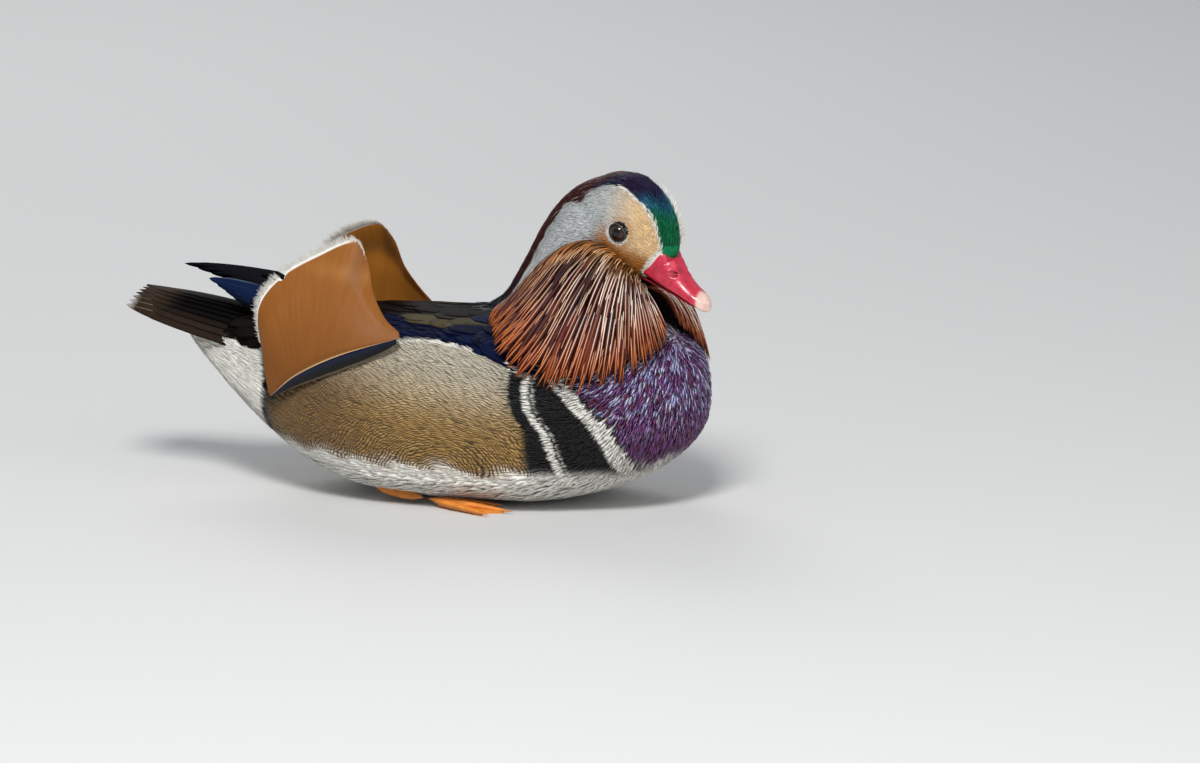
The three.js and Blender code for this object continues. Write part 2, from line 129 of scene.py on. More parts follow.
# Height of the line where the white stripe ends and the ruff begins, the slanted line in the
# head's frame where the feathers meet the bill, as pairs of place and height, and the depth and
# the height of the throat's hollow.
STRIPE_FOOT = np.array([
    (22, 104), (30, 104), (38, 109), (45, 119), (50, 126), (57, 133), (65, 138), (74, 141), (92, 139),
])
BILL_BASE = np.array([(25.0, -13.0), (25.3, -9.0), (26.8, -3.0), (28.3, 1.5), (30.5, 7.3), (33.5, 9.0)])
THROAT_HOLLOW = 7
THROAT_LEVEL = 106

# Ruff: roots round the cheek and tips round the breast, from the front to the nape.
RUFF = {
    "right": {
        "root": [(101, -18, 119), (94, -27, 132), (81, -26, 141), (62, -21, 137), (45, -18, 121),
                 (32, -14, 102)],
        "tip": [(118, -20, 92), (112, -35, 81), (90, -52, 67), (63, -59, 65), (36, -55, 80),
                (25, -32, 97)],
    },
    "left": {
        "root": [(102, -10, 115), (107, -2, 119), (107, 8, 132), (95, 16, 141), (75, 21, 137),
                 (51, 19, 121), (33, 15, 102)],
        "tip": [(119, -4, 95), (129, 15, 76), (124, 33, 62), (98, 50, 60), (64, 59, 64),
                (36, 55, 80), (25, 32, 97)],
    },
}

# The shield's bow, how deep under it the dark lining lies and how far down it reaches, how
# strongly and how soon the plumes fan out, and the share of each shield that lies in front of the fan.
RUFF_BULGE = 7
LINING_DEPTH = 2.0
LINING_END = 0.74
FAN = 4.5
FAN_EASE = 0.5
RUFF_FRONT = {"right": 0.0, "left": 1 / 6}

# Rows of plumes: their start down the shield, their length and their number.
RUFF_ROWS = {
    "upper": [(0.0, 8, 85), (0.01, 14, 80), (0.05, 24, 66), (0.11, 36, 56)],
    "lower": [
        (0.2, 42, 48), (0.3, 46, 45), (0.4, 46, 42), (0.48, 45, 40), (0.56, 40, 40), (0.62, 36, 38),
    ],
}

# Sails as if both were on the left: the shaft from base to tip, and the edge round the vane.
SAIL_SHAFT = {
    "right": [(-18, 49, 89.5), (-48, 54, 80), (-72, 53, 68), (-88, 48, 55)],
    "left": [(-26, 49, 86), (-50, 54, 78), (-72, 53, 67), (-88, 48, 55)],
}
SAIL_EDGE = {
    "right": [
        (-19, 47, 92), (-28, 42, 98), (-36, 36, 110), (-41, 30, 125), (-49, 26, 135), (-67, 28, 127.5),
        (-86, 32, 116), (-97, 38, 100), (-94, 43, 78), (-89, 48, 57),
    ],
    "left": [
        (-27, 47, 88), (-33, 42, 97), (-40, 36, 110), (-44, 30, 125), (-52, 26, 134.5), (-68, 28, 129),
        (-80, 31, 119), (-88, 37, 103), (-90, 43, 80), (-89, 48, 57),
    ],
}

# The vane's bow, its fold near the edge, half its thickness, the place, width and depth of its
# notch, how wide the fringe is bare there, and how far down the dark outer vane reaches.
SAIL_BULGE = 3
SAIL_FOLD = {"height": 1.6, "at": 0.72, "width": 0.16}
SAIL_HALF_THICK = 0.45
NOTCH_AT = 0.665
NOTCH_WIDTH = 0.009
NOTCH_DEPTH = 3.6
NOTCH_BARE = 0.008
OUTER_VANE = 7

# White hairs on the sail's edge: their length, their number, and where they start and end.
FRINGE = 6.0
FRINGE_HAIRS = 1300
FRINGE_FROM = 0.34
FRINGE_TO = 0.87

# Tail feathers and folded flight feathers: how many, their half width, and the ends of the
# uppermost flight feather.
TAIL_COUNT = 14
TAIL_HALF = 7.4
PRIMARY_COUNT = 5
PRIMARY_HALF = 4.2
PRIMARY_ENDS = {"right": ((-84, -20, 99), (-133, -8, 107)), "left": ((-84, 15, 102), (-151, 7, 111))}

# Bill stations in the head's frame: place, half width, top and bottom. Then its sections'
# exponent, where it starts to round off to the tip, and the nostril's middle and size.
UPPER_BILL = np.array([
    (18, 10, 11, -12), (30, 9.8, 9.5, -12.6), (36, 9, 3, -12.8), (42, 8.1, -2, -12.6),
    (49, 7.3, -5.4, -12.8), (56, 6.9, -7.2, -13.8), (62.5, 6.7, -9, -17),
])
LOWER_BILL = np.array([(16, 7.544, -12, -15.6), (38, 6.256, -12.2, -14.6), (58, 4.6, -13.4, -15.2)])
BILL_SQUARENESS = 2.3
BILL_TURN = 53
NOSTRIL = np.array([39.5, 6.0, -3.2])
NOSTRIL_SIZE = np.array([2.2, 3.0, 1.6])

# The rim of the lids: half its length, how much its corners add to that, and its half heights.
LID = {"long": 4.45, "corner": 0.55, "above": 4.1, "below": 4.35}

# Margin that the edge of the map OFBake keeps clear, the width of one feather's patch on it, and
# the millimetres in one unit of the map Vane.
MARGIN = 0.02
PATCH = 0.003
VANE_UNIT = 10

# Barbs slant back by this much for each millimetre from the shaft.
BARB_SLANT = -1.3

# Roughness of every clear coat, and how far red, green and blue light spread inside, in metres.
COAT_ROUGHNESS = 0.08
SUBSURFACE_RADIUS = (0.004, 0.002, 0.001)

# Scattering: draws for each cell, how near two roots may be as a share of the spacing, and the
# number base that turns a cell's three steps into one whole number.
DRAWS = 9
NEAREST = 0.72
KEY_BASE = 5003

# The camera: its angles in front of the right side and above it, its distance, the width of its
# sensor, the length that one pixel of the picture shows, the picture's size, and where in it the
# origin lies.
CAMERA_TURN = np.radians(15)
CAMERA_RISE = np.radians(12)
CAMERA_FAR = 5000
SENSOR = 36
PIXEL = 0.52
IMAGE = (1200, 763)
ORIGIN_AT = (460.0, 490.0)

# Lamps: place and size in metres, and power in watts. They face a point over the origin.
LAMPS = {
    "key": ((0.2, -1.5, 1.9), 0.6, 50),
    "fill": ((1.8, -0.9, 0.9), 1.2, 8),
    "rim": ((-0.9, 1.5, 1.3), 1.0, 12),
}
LAMPS_FACE = (0, 0, 0.08)
SKY = {"colour": (0.9, 0.93, 1.0, 1), "strength": 0.36}
FLOOR = {"colour": (0.6, 0.6, 0.59, 1), "half": 3000, "drop": 0.05}


def linear(code):
    """A hex colour as linear light: each channel is undone from its display curve."""
    parts = [int(code[i:i + 2], 16) / 255 for i in (0, 2, 4)]
    return tuple(p / 12.92 if p <= 0.04045 else ((p + 0.055) / 1.055) ** 2.4 for p in parts)


def colour_setting(label, code):
    """A colour that a user may change, in linear light."""
    told = {"name": label, "description": f"{label}, in linear light"}
    return bpy.props.FloatVectorProperty(**told, subtype="COLOR", size=3, min=0, max=1, default=linear(code))


def length_setting(name, description, value):
    """A length in millimetres that a user may change."""
    description += ", in millimetres"
    return bpy.props.FloatProperty(name=name, description=description, default=value, min=0.01)


class DuckSizes(bpy.types.PropertyGroup):
    """Depths and spacings of the plumage."""

    skin_cell: length_setting("Skin cell", "Cell of the skin's mesh", 1.5)
    body_depth: length_setting("Body depth", "Depth of the plumage on the trunk", 3.0)
    head_depth: length_setting("Head depth", "Depth of the plumage on the head", 1.3)
    seed: bpy.props.IntProperty(name="Seed", description="Start of the random numbers", default=11)
    spacing: bpy.props.FloatProperty(
        name="Spacing", description="Spacing of the small feathers, as a factor", default=1.0, min=0.5
    )


class DuckColours(bpy.types.PropertyGroup):
    """Colours of the plumage and the bare parts."""

    sail: colour_setting("Satin vane of the sails", "86501c")
    sail_inner: colour_setting("Inner face of the sails", "b87428")
    flank: colour_setting("Ground colour of the flanks", "b5924f")
    flank_top: colour_setting("Greyer upper part of the flanks", "bcb5a2")
    breast: colour_setting("Purple-maroon of the breast", "76427e")
    breast_sheen: colour_setting("Blue-violet sheen of the breast", "a3abe0")
    stripe: colour_setting("Pale grey of the broad stripe behind the eye", "c6cac9")
    plum: colour_setting("Purple among the ruff's plumes", "46182c")
    plume_orange: colour_setting("Shafts of the outer plumes", "dc7c3a")
    white: colour_setting("White of bars, stripe, belly and undertail", "f2efe6")
    black: colour_setting("Black of bars and feather edges", "0a0a0e")
    cream: colour_setting("Lores and plume shafts", "efcb98")
    gold: colour_setting("Cheeks", "b8731f")
    rust: colour_setting("Outer part of the ruff's plumes", "8c3c14")
    chestnut: colour_setting("Inner part of the ruff's plumes", "5e2012")
    crown_green: colour_setting("Forehead", "06784a")
    crown_teal: colour_setting("Between the forehead and the middle of the crown", "0a5c7c")
    crown_blue: colour_setting("Middle of the crown", "10163e")
    crown_maroon: colour_setting("Rear crown and crest", "4a1a14")
    wing: colour_setting("Blue-black of the wings", "0a1330")
    back: colour_setting("Brown-black of the back", "140e0b")
    tail: colour_setting("Brown-black of the tail", "120f10")
    bill: colour_setting("Crimson horn of the bill", "c2263f")
    nail: colour_setting("Pale horn at the bill's tip", "e6c3b4")
    foot: colour_setting("Orange skin of the feet", "d98226")
    iris: colour_setting("Ring round the pupil", "3a2012")
    # The lid rim is dark; its side against the eye carries painted shade and its outer side painted light.
    lid_dark: colour_setting("Lids next to the eye", "120d0c")
    lid_pale: colour_setting("Lids next to the feathers", "5a524c")
    cheek: colour_setting("Brown of the lower cheek", "8a4d12")
    # Painted shade: the near-black in the hollow of the throat under the bill.
    throat: colour_setting("Dark hollow under the bill", "1d0e0a")
    crown_violet: colour_setting("Behind the blue of the crown", "2c1238")
    nape: colour_setting("End of the crest", "0d1a22")
    breast_red: colour_setting("Single red feathers of the breast", "6b1f2c")
    flank_rear: colour_setting("Browner rear of the flanks", "4a2e14")
    flank_low: colour_setting("Ochre lower part of the flanks", "8f6a2c")
    shoulder: colour_setting("Tan feathers in the white spot at the shoulder", "a8663a")
    rump: colour_setting("Maroon-black behind the flanks", "1c0b12")
    bronze: colour_setting("Patch on the wings", "51482f")
    tail_brown: colour_setting("Tips and outer feathers of the tail", "35291f")
    tail_shaft: colour_setting("Shafts of the outer tail feathers", "9c8a6a")
    primary: colour_setting("Steel blue of the folded flight feathers", "0f1e3c")
    primary_edge: colour_setting("Pale edges of the lowest flight feathers", "7f93ad")


def sizes():
    """The plumage sizes of the open scene."""
    return bpy.context.scene.duck_sizes


def tone(name):
    """One of the scene's duck colours as an array."""
    return np.array(getattr(bpy.context.scene.duck_colours, name))


def smooth(low, high, x):
    """0 below low and 1 above high, with a cubic ease between."""
    t = np.clip((np.asarray(x, float) - low) / (high - low), 0, 1)
    return t * t * (3 - 2 * t)


def mix(a, b, share):
    """From a to b by a share: numbers, or colours or their names with a share for each point."""
    a, b = (tone(value) if isinstance(value, str) else np.asarray(value) for value in (a, b))
    share = np.asarray(share, float)
    if a.ndim or b.ndim:
        share = share[..., None]
    return a * (1 - share) + b * share


def unit(v):
    """Vectors at length one."""
    return v / np.maximum(np.linalg.norm(v, axis=-1, keepdims=True), 1e-9)


def tangent(v, normal):
    """The part of v that lies along the surface with that normal, at length one."""
    return unit(v - normal * np.sum(v * normal, -1, keepdims=True))


def through(stations, x, column=1):
    """Stations joined by cubic arcs whose slope at each comes from its two neighbours."""
    at = stations[:, 0]
    value = stations[:, column]
    before = np.concatenate([[0], np.arange(len(at) - 1)])
    after = np.concatenate([np.arange(1, len(at)), [len(at) - 1]])
    slope = (value[after] - value[before]) / (at[after] - at[before])
    i = np.clip(np.searchsorted(at, x, side="right"), 1, len(at) - 1)
    gap = at[i] - at[i - 1]
    t = np.clip((x - at[i - 1]) / gap, 0, 1)
    bow = t * (1 - t) * gap * (slope[i - 1] * (1 - t) - slope[i] * t)
    return value[i - 1] + (value[i] - value[i - 1]) * t * t * (3 - 2 * t) + bow


def spline(points, t):
    """A curve through points at shares t of its run from the first to the last, by cubic arcs."""
    points = np.asarray(points, float)
    at = steps(len(points))
    table = np.column_stack([at, points])
    return np.stack([through(table, t, k) for k in (1, 2, 3)], -1)


def power(x, exponent):
    """x raised with its sign kept."""
    return np.sign(x) * np.abs(x) ** exponent


def rounding(share, fullness):
    """How much of its size is left at a share of the way to a rounded end."""
    return (1 - np.clip(share, 0, 1) ** fullness) ** (1 / fullness)


def steps(count):
    """That many even steps from 0 to 1."""
    return np.linspace(0, 1, count)


def lattice(by_row, by_column):
    """Two grids of values: one that changes from row to row, and one from column to column."""
    return np.meshgrid(by_row, by_column, indexing="ij")


def circle(count):
    """That many even angles once round."""
    return np.arange(count) * 2 * np.pi / count


def on_chart(share):
    """Shares from 0 to 1, drawn in by the margin of the map OFBake."""
    return MARGIN + (1 - 2 * MARGIN) * share


def run_length(spines):
    """Length of each line of points."""
    return np.linalg.norm(np.diff(spines, axis=1), axis=2).sum(1)


def both_faces(*grids):
    """Values on a plate's grid as lists for all its points, one face after the other."""
    return [np.tile(grid.ravel(), 2) for grid in grids]


def head_axes():
    """The head's three axes as columns: nod about Y first, then turn about Z."""
    c, s = np.cos(HEAD_TURN), np.sin(HEAD_TURN)
    turn = np.array([(c, -s, 0), (s, c, 0), (0, 0, 1)])
    c, s = np.cos(HEAD_NOD), np.sin(HEAD_NOD)
    nod = np.array([(c, 0, s), (0, 1, 0), (-s, 0, c)])
    return turn @ nod


def from_head(p):
    """Points in the head's frame, in the bird's."""
    return np.asarray(p, float) @ head_axes().T + HEAD_AT


def to_head(p):
    """Points of the bird in the head's frame."""
    return (np.asarray(p, float) - HEAD_AT) @ head_axes()


def midline():
    """The middle line from the bill over the crown to the end of the crest, as one list."""
    return np.concatenate([from_head(MIDLINE_HEAD), MIDLINE_NAPE])


# Meshes


def mesh_piece(name, points, quads, triangles=()):
    """An object from points in millimetres, quads and triangles, with smooth faces."""
    points = np.asarray(points, float).reshape(-1, 3)
    quads = np.asarray(quads, int).reshape(-1, 4)
    triangles = np.asarray(triangles, int).reshape(-1, 3)
    mesh = bpy.data.meshes.new(name)
    mesh.vertices.add(len(points))
    mesh.vertices.foreach_set("co", (points * MM).ravel())
    corners = np.concatenate([quads.ravel(), triangles.ravel()])
    starts = np.concatenate([np.arange(len(quads)) * 4, len(quads) * 4 + np.arange(len(triangles)) * 3])
    mesh.loops.add(len(corners))
    mesh.loops.foreach_set("vertex_index", corners)
    mesh.polygons.add(len(starts))
    mesh.polygons.foreach_set("loop_start", starts)
    mesh.update(calc_edges=True)
    mesh.validate()
    mesh.polygons.foreach_set("use_smooth", np.ones(len(mesh.polygons), bool))
    piece = bpy.data.objects.new(name, mesh)
    bpy.context.scene.collection.objects.link(piece)
    return piece


def paint(piece, **layers):
    """Writes point attributes: three columns make a colour, and one makes a number."""
    for name, values in layers.items():
        values = np.asarray(values, float)
        if values.ndim == 1:
            layer = piece.data.attributes.new(name, "FLOAT", "POINT")
            layer.data.foreach_set("value", values)
        else:
            layer = piece.data.attributes.new(name, "FLOAT_COLOR", "POINT")
            full = np.column_stack([np.clip(values, 0, 1), np.ones(len(values))])
            layer.data.foreach_set("color", full.ravel())


def lay_map(piece, name, at_points):
    """A UV map from one place for each point."""
    layer = piece.data.uv_layers.new(name=name)
    corners = np.empty(len(piece.data.loops), int)
    piece.data.loops.foreach_get("vertex_index", corners)
    layer.uv.foreach_set("vector", np.asarray(at_points, float)[corners].ravel())


def lay_vane(piece, across, along):
    """The map Vane from millimetres across and along."""
    lay_map(piece, "Vane", np.column_stack([across, along]) / VANE_UNIT)


def grid_faces(rows, columns, wrap=True):
    """Quads of a grid of points, row by row, closed round each row if wrap is set."""
    count = columns if wrap else columns - 1
    r, c = lattice(np.arange(rows - 1), np.arange(count))
    a = r * columns + c
    b = r * columns + (c + 1) % columns
    return np.stack([a, b, b + columns, a + columns], -1).reshape(-1, 4)


def tube_faces(rows, columns):
    """Quads and end fans of a closed tube whose rings run the right-hand way round its path."""
    quads = grid_faces(rows, columns)
    fan = np.arange(1, columns - 1)
    start = np.stack([np.zeros_like(fan), fan + 1, fan], -1)
    end = start[:, ::-1] + (rows - 1) * columns
    return quads, np.concatenate([start, end])


def vanes(name, spine, out, half, camber, columns=3):
    """Closed vanes carried along their spines, all in one mesh.

    spine and out are (count, rings, 3), and half and camber are (count, rings), in millimetres.
    At each ring the points run from the left edge over the raised shaft to the right edge, and
    the underside is the flat strip between the edges. Returns the piece with, for each point, its
    feather, its share along it and its place across it from -1 to 1.
    """
    count, rings = half.shape
    ahead = unit(np.gradient(spine, axis=1))
    across = unit(np.cross(ahead, out))
    t = np.linspace(-1, 1, columns)
    rise = (1 - np.abs(t) ** 1.5) * camber[..., None]
    points = (
        spine[:, :, None]
        + across[:, :, None] * (half[..., None] * t)[..., None]
        + out[:, :, None] * rise[..., None]
    )
    quads, fans = tube_faces(rings, columns)
    offset = (np.arange(count) * rings * columns)[:, None, None]
    piece = mesh_piece(name, points, (quads + offset).reshape(-1, 4), (fans + offset).reshape(-1, 3))
    share = steps(rings)
    feather, along, place = np.meshgrid(np.arange(count), share, t, indexing="ij")
    return piece, feather.ravel(), along.ravel(), place.ravel()


def lay_vane_maps(piece, feather, along, place, long, half, roots):
    """The map Vane, across and along each feather, and the map OFBake.

    OFBake puts each feather on a small patch at its root's place on the skin's unwrap.
    """
    lay_map(piece, "OFBake", roots[feather] + PATCH * np.column_stack([place / 2, along - 0.5]))
    lay_vane(piece, place * half[feather], along * long[feather])


def plate(name, surface, half_thick, sign, outward=None):
    """A closed plate: a grid of points moved out and in by half_thick, with a rim round it.

    The thickness eases off towards the rim. sign tells which side of the bird is outwards, or
    outward gives the way out at each point.
    """
    rows, columns = surface.shape[:2]
    normal = unit(np.cross(np.gradient(surface, axis=0), np.gradient(surface, axis=1)))
    if outward is None:
        outward = normal * np.where(normal[..., 1:2] * sign < 0, -1, 1)
    r, c = lattice(steps(rows), steps(columns))
    edge = np.minimum(np.minimum(r, 1 - r), np.minimum(c, 1 - c))
    half = half_thick * np.minimum(1, 12 * edge + 0.35)
    points = np.concatenate([surface + outward * half[..., None], surface - outward * half[..., None]])
    faces = grid_faces(rows, columns, wrap=False)
    index = np.arange(rows * columns).reshape(rows, columns)
    rim = np.concatenate([index[:, 0], index[-1, 1:], index[-2::-1, -1], index[0, -2:0:-1]])
    ahead = np.roll(rim, -1)
    wall = np.stack([rim, rim + rows * columns, ahead + rows * columns, ahead], -1)
    quads = np.concatenate([faces, faces[:, ::-1] + rows * columns, wall])
    turned = np.sum(normal[rows // 2, columns // 2] * outward[rows // 2, columns // 2]) > 0
    return mesh_piece(name, points, quads if turned else quads[:, ::-1])


# Skin and its ground


def trunk_points(inset, rows=150, columns=110):
    """The trunk's closed surface: sections rounder above than below, along x, with round ends."""
    u, angle = lattice(steps(rows), circle(columns))
    x = TAIL_END + inset + (BREAST_END - TAIL_END - 2 * inset) * (1 - np.cos(np.pi * u)) / 2
    front = x > 0
    share = np.where(
        front,
        (x - BREAST_TURN) / (BREAST_END - inset - BREAST_TURN),
        (UNDERTAIL_TURN - x) / (UNDERTAIL_TURN - TAIL_END - inset),
    )
    tall = np.where(front, rounding(share, 3), rounding(share, 2))
    wide = rounding(share, 2.2)
    level = np.where(front, BREAST_LEVEL, UNDERTAIL_LEVEL)
    bed = NECK_BED * smooth(88, 108, x)
    top = level + (through(TRUNK, x, 2) - bed - inset - level) * tall
    bottom = level + (np.maximum(through(TRUNK, x, 3) + inset, 0.4) - level) * tall
    widest = bottom + (top - bottom) * WIDEST_SHARE
    up = np.sin(angle) > 0
    exponent = np.where(up, 2 / ROUNDNESS["above"], 2 / ROUNDNESS["below"])
    reach = np.where(up, top - widest, widest - bottom)
    y = np.maximum(through(TRUNK, x, 1) - inset, 2) * wide * power(np.cos(angle), exponent)
    return np.stack([x, y, widest + reach * power(np.sin(angle), exponent)], -1)


def neck_points(inset, rows=60, columns=60):
    """The neck's closed surface: ellipses at each height, hollowed at the throat, closed at both ends."""
    u, angle = lattice(steps(rows), circle(columns))
    z = NECK[0, 0] + (NECK[-1, 0] - NECK[0, 0]) * (1 - np.cos(np.pi * u)) / 2
    closing = np.minimum(1, np.sin(np.pi * u) * 2.5)
    throat = THROAT_HOLLOW * np.exp(-((z - THROAT_LEVEL) / 16) ** 2)
    front, back = through(NECK, z, 1) - throat, through(NECK, z, 2)
    x = (front + back) / 2 + ((front - back) / 2 - inset) * closing * np.cos(angle)
    y = through(NECK, z, 4) + (through(NECK, z, 3) - inset) * closing * np.sin(angle)
    return np.stack([x, y, z], -1)


def skull_points(inset, rows=80, columns=80):
    """The skull's closed surface: an egg of four quarter radii, with a small point over the bill."""
    u, angle = lattice(np.linspace(0, np.pi, rows), circle(columns))
    x, y, z = np.cos(u), np.sin(u) * np.cos(angle), np.sin(u) * np.sin(angle)
    long = np.where(x > 0, SKULL["front"], SKULL["back"]) - inset
    high = np.where(z > 0, SKULL["up"], SKULL["down"]) - inset
    x, y, z = x * long, y * (SKULL["half"] - inset), z * high
    off = ((z - BROW_POINT["level"]) / BROW_POINT["height"]) ** 2 + (y / BROW_POINT["half"]) ** 2
    x = x + BROW_POINT["reach"] * np.exp(-off) * (x > 0)
    return from_head(np.stack([x, y, z], -1))


def crest_points(inset, rows=60, columns=40):
    """The crest's core: flat ellipses carried along the middle line, just under it."""
    t = np.linspace(0.3, 0.985, rows)
    line = spline(midline(), t)
    ahead = unit(np.gradient(line, axis=0))
    side = unit(np.cross(UP, ahead) + [0, 1e-6, 0])
    out = unit(np.cross(ahead, side))
    closing = np.minimum(1, np.sin(np.pi * steps(rows)) * 4)
    angle = circle(columns)
    wide = ((crown_half(t, -1) - inset) * closing)[:, None] * np.cos(angle)
    high = (CREST_CORE * closing)[:, None] * np.sin(angle) - CREST_CORE - inset
    return line[:, None] + side[:, None] * wide[..., None] + out[:, None] * high[..., None]


def closed_grids(name, *shells):
    """An object from closed surfaces, each given as rings of points, with the normals outwards."""
    quads, fans, start = [], [], 0
    for shell in shells:
        q, f = tube_faces(*shell.shape[:2])
        quads.append(q + start)
        fans.append(f + start)
        start += shell.size // 3
    points = np.concatenate([shell.reshape(-1, 3) for shell in shells])
    return mesh_piece(name, points, np.concatenate(quads), np.concatenate(fans))


def apply_modifiers(piece):
    """Replaces the piece's mesh with what its modifiers make of it."""
    bpy.context.view_layer.update()
    graph = bpy.context.evaluated_depsgraph_get()
    mesh = bpy.data.meshes.new_from_object(piece.evaluated_get(graph))
    old = piece.data
    piece.modifiers.clear()
    piece.data = mesh
    bpy.data.meshes.remove(old)


def read_points(mesh):
    """The mesh's points and their normals, in millimetres."""
    points = np.empty(len(mesh.vertices) * 3)
    normals = np.empty(len(mesh.vertices) * 3)
    mesh.vertices.foreach_get("co", points)
    mesh.vertex_normals.foreach_get("vector", normals)
    return points.reshape(-1, 3) / MM, normals.reshape(-1, 3)


class Ground:
    """The skin as a table of cells, each of which knows a skin point near it."""

    cell = 1.6
    reach = 14

    def __init__(self, mesh):
        """Marks the cells that hold skin points, then lets each empty cell take a neighbour's."""
        self.points, self.normals = read_points(mesh)
        self.low = self.points.min(0) - self.reach
        shape = np.ceil((self.points.max(0) + self.reach - self.low) / self.cell).astype(int) + 1
        table = np.full(shape, -1)
        table[self.cells(self.points, shape)] = np.arange(len(self.points))
        for _ in range(int(self.reach / self.cell)):
            for axis in range(3):
                for step in (-1, 1):
                    table = np.where(table < 0, np.roll(table, step, axis), table)
        self.table = table

    def cells(self, p, shape):
        """The cell of each point."""
        index = ((p - self.low) / self.cell).astype(int)
        index = np.clip(index, 0, np.array(shape) - 1)
        return tuple(np.moveaxis(index, -1, 0))

    def foot(self, p):
        """The place on the skin under each point, and the normal there."""
        p = np.asarray(p, float)
        for _ in range(3):
            near = self.table[self.cells(p, self.table.shape)]
            near = np.maximum(near, 0)
            normal = self.normals[near]
            p = p - normal * np.sum((p - self.points[near]) * normal, -1, keepdims=True)
        return p, normal


shared = {}  # the skin and its ground, once they are made


def random(offset):
    """Random numbers for one piece, the same in every run."""
    return np.random.default_rng(sizes().seed * 1000 + offset)


def scatter(mesh, spacing, wanted, rng):
    """Points on a mesh with one in each cell of that spacing, where wanted(points) says so.

    Each triangle is drawn in proportion to its area, and a place in it by two even numbers.
    """
    mesh.calc_loop_triangles()
    corner = np.empty(len(mesh.loop_triangles) * 3, int)
    mesh.loop_triangles.foreach_get("vertices", corner)
    corner = corner.reshape(-1, 3)
    points, _ = read_points(mesh)
    a, b, c = points[corner[:, 0]], points[corner[:, 1]], points[corner[:, 2]]
    keep = wanted((a + b + c) / 3)
    a, b, c = a[keep], b[keep], c[keep]
    area = np.linalg.norm(np.cross(b - a, c - a), axis=1) / 2
    count = int(area.sum() / spacing ** 2 * DRAWS)
    pick = rng.choice(len(a), count, p=area / area.sum())
    u, v = rng.random((2, count, 1))
    flip = u + v > 1
    u, v = np.where(flip, 1 - u, u), np.where(flip, 1 - v, v)
    p = a[pick] + (b[pick] - a[pick]) * u + (c[pick] - a[pick]) * v
    p = p[wanted(p)]
    _, first = np.unique(cell_keys(p, spacing), return_index=True)
    return thin_out(p[np.sort(first)], spacing * NEAREST)


def cell_keys(p, size):
    """One whole number for the cell of each point."""
    cell = np.floor(p / size).astype(np.int64)
    return (cell[:, 0] * KEY_BASE + cell[:, 1]) * KEY_BASE + cell[:, 2]


def thin_out(p, gap):
    """Leaves out each point that an earlier one in a neighbouring cell is nearer to than gap."""
    key = cell_keys(p, gap)
    order = np.argsort(key, kind="stable")
    ranked = key[order]
    dropped = np.zeros(len(p), bool)
    for dx, dy, dz in itertools.product((-1, 0, 1), repeat=3):
        other = key + (dx * KEY_BASE + dy) * KEY_BASE + dz
        spot = np.clip(np.searchsorted(ranked, other), 0, len(p) - 1)
        mate = order[spot]
        close = (ranked[spot] == other) & (mate < np.arange(len(p)))
        dropped |= close & (np.linalg.norm(p - p[mate], axis=1) < gap)
    return p[~dropped]


def combed(roots, long, lie, rings, lift):
    """Spines that start at roots and are led over the skin by lie(points, normals).

    At each of the even steps the next point is found on the skin, and it is raised over it by
    lift times the share along. Returns the spines and the way out.
    """
    ground = shared["ground"]
    foot, normal = ground.foot(roots)
    spine, out = [], []
    for k in range(rings):
        share = k / (rings - 1)
        spine.append(foot + normal * (lift * share)[:, None])
        out.append(normal)
        heading = lie(foot, normal)
        foot, normal = ground.foot(foot + heading * (long / (rings - 1))[:, None])
    return np.stack(spine, 1), np.stack(out, 1)


# Lie of the plumage


def backwards(normal, aside, rise):
    """The way straight back, turned to the side and up by those shares, along the surface."""
    return tangent(np.stack([0 * rise - 1, aside + 0 * rise, rise], -1), normal)


def lie_body(p, normal):
    """Backwards along the trunk, and down over the front of the breast."""
    front = smooth(60, 122, p[:, 0])
    rear = smooth(-70, -110, p[:, 0])
    return backwards(normal, 0.12 * np.sign(p[:, 1]) * (1 - front), 0.4 * rear - 1.7 * front)


def lie_wing(p, normal):
    """Backwards, and as steep as the flank's upper edge where that is near and in front."""
    x = p[:, 0]
    slope = (flank_top(x - 3) - flank_top(x + 3)) / 6
    near = smooth(26, 6, p[:, 2] - flank_top(x)) * smooth(-40, 0, x)
    return backwards(normal, 0, slope * near)


def lie_flank(p, normal):
    """Backwards and up on the upper flank, and straight back low down."""
    return backwards(normal, 0, 0.1 + 0.75 * smooth(25, 85, p[:, 2]))


def on_midline(p):
    """Each point's share along the middle line, its distance to the side, and the line's way.

    What lies deeper under the line than the crest reaches counts as that much farther out.
    """
    t = steps(MIDLINE_STEPS)
    line = spline(midline(), t)
    speed = np.gradient(line, axis=0)
    ahead = unit(speed)
    best = np.full(len(p), np.inf)
    near = np.zeros(len(p), int)
    for k in range(len(t)):
        gap = np.sum((p - line[k]) ** 2, 1)
        closer = gap < best
        best[closer] = gap[closer]
        near[closer] = k
    way = ahead[near]
    along = np.sum((p - line[near]) * way, 1)
    share = t[near] + np.clip(along / np.linalg.norm(speed, axis=1)[near], -1, 1) * t[1]
    lateral = mix(head_axes()[:, 1], np.array([0.0, 1.0, 0.0]), smooth(0.3, 0.6, share))
    across = tangent(lateral, way)
    gap = p - line[near]
    side = np.sum(gap * across, 1)
    under = np.abs(np.sum(gap * np.cross(way, across), 1))
    deeper = np.maximum(under - CREST_DEPTH - 0.55 * np.abs(side), 0) * smooth(0.9, 0.8, share)
    return share, side + np.where(side < 0, -1.5, 1.5) * deeper, way


def lie_crown(p, normal):
    """Along the middle line, back over the crown and down the crest."""
    _, _, way = on_midline(p)
    return tangent(way, normal)


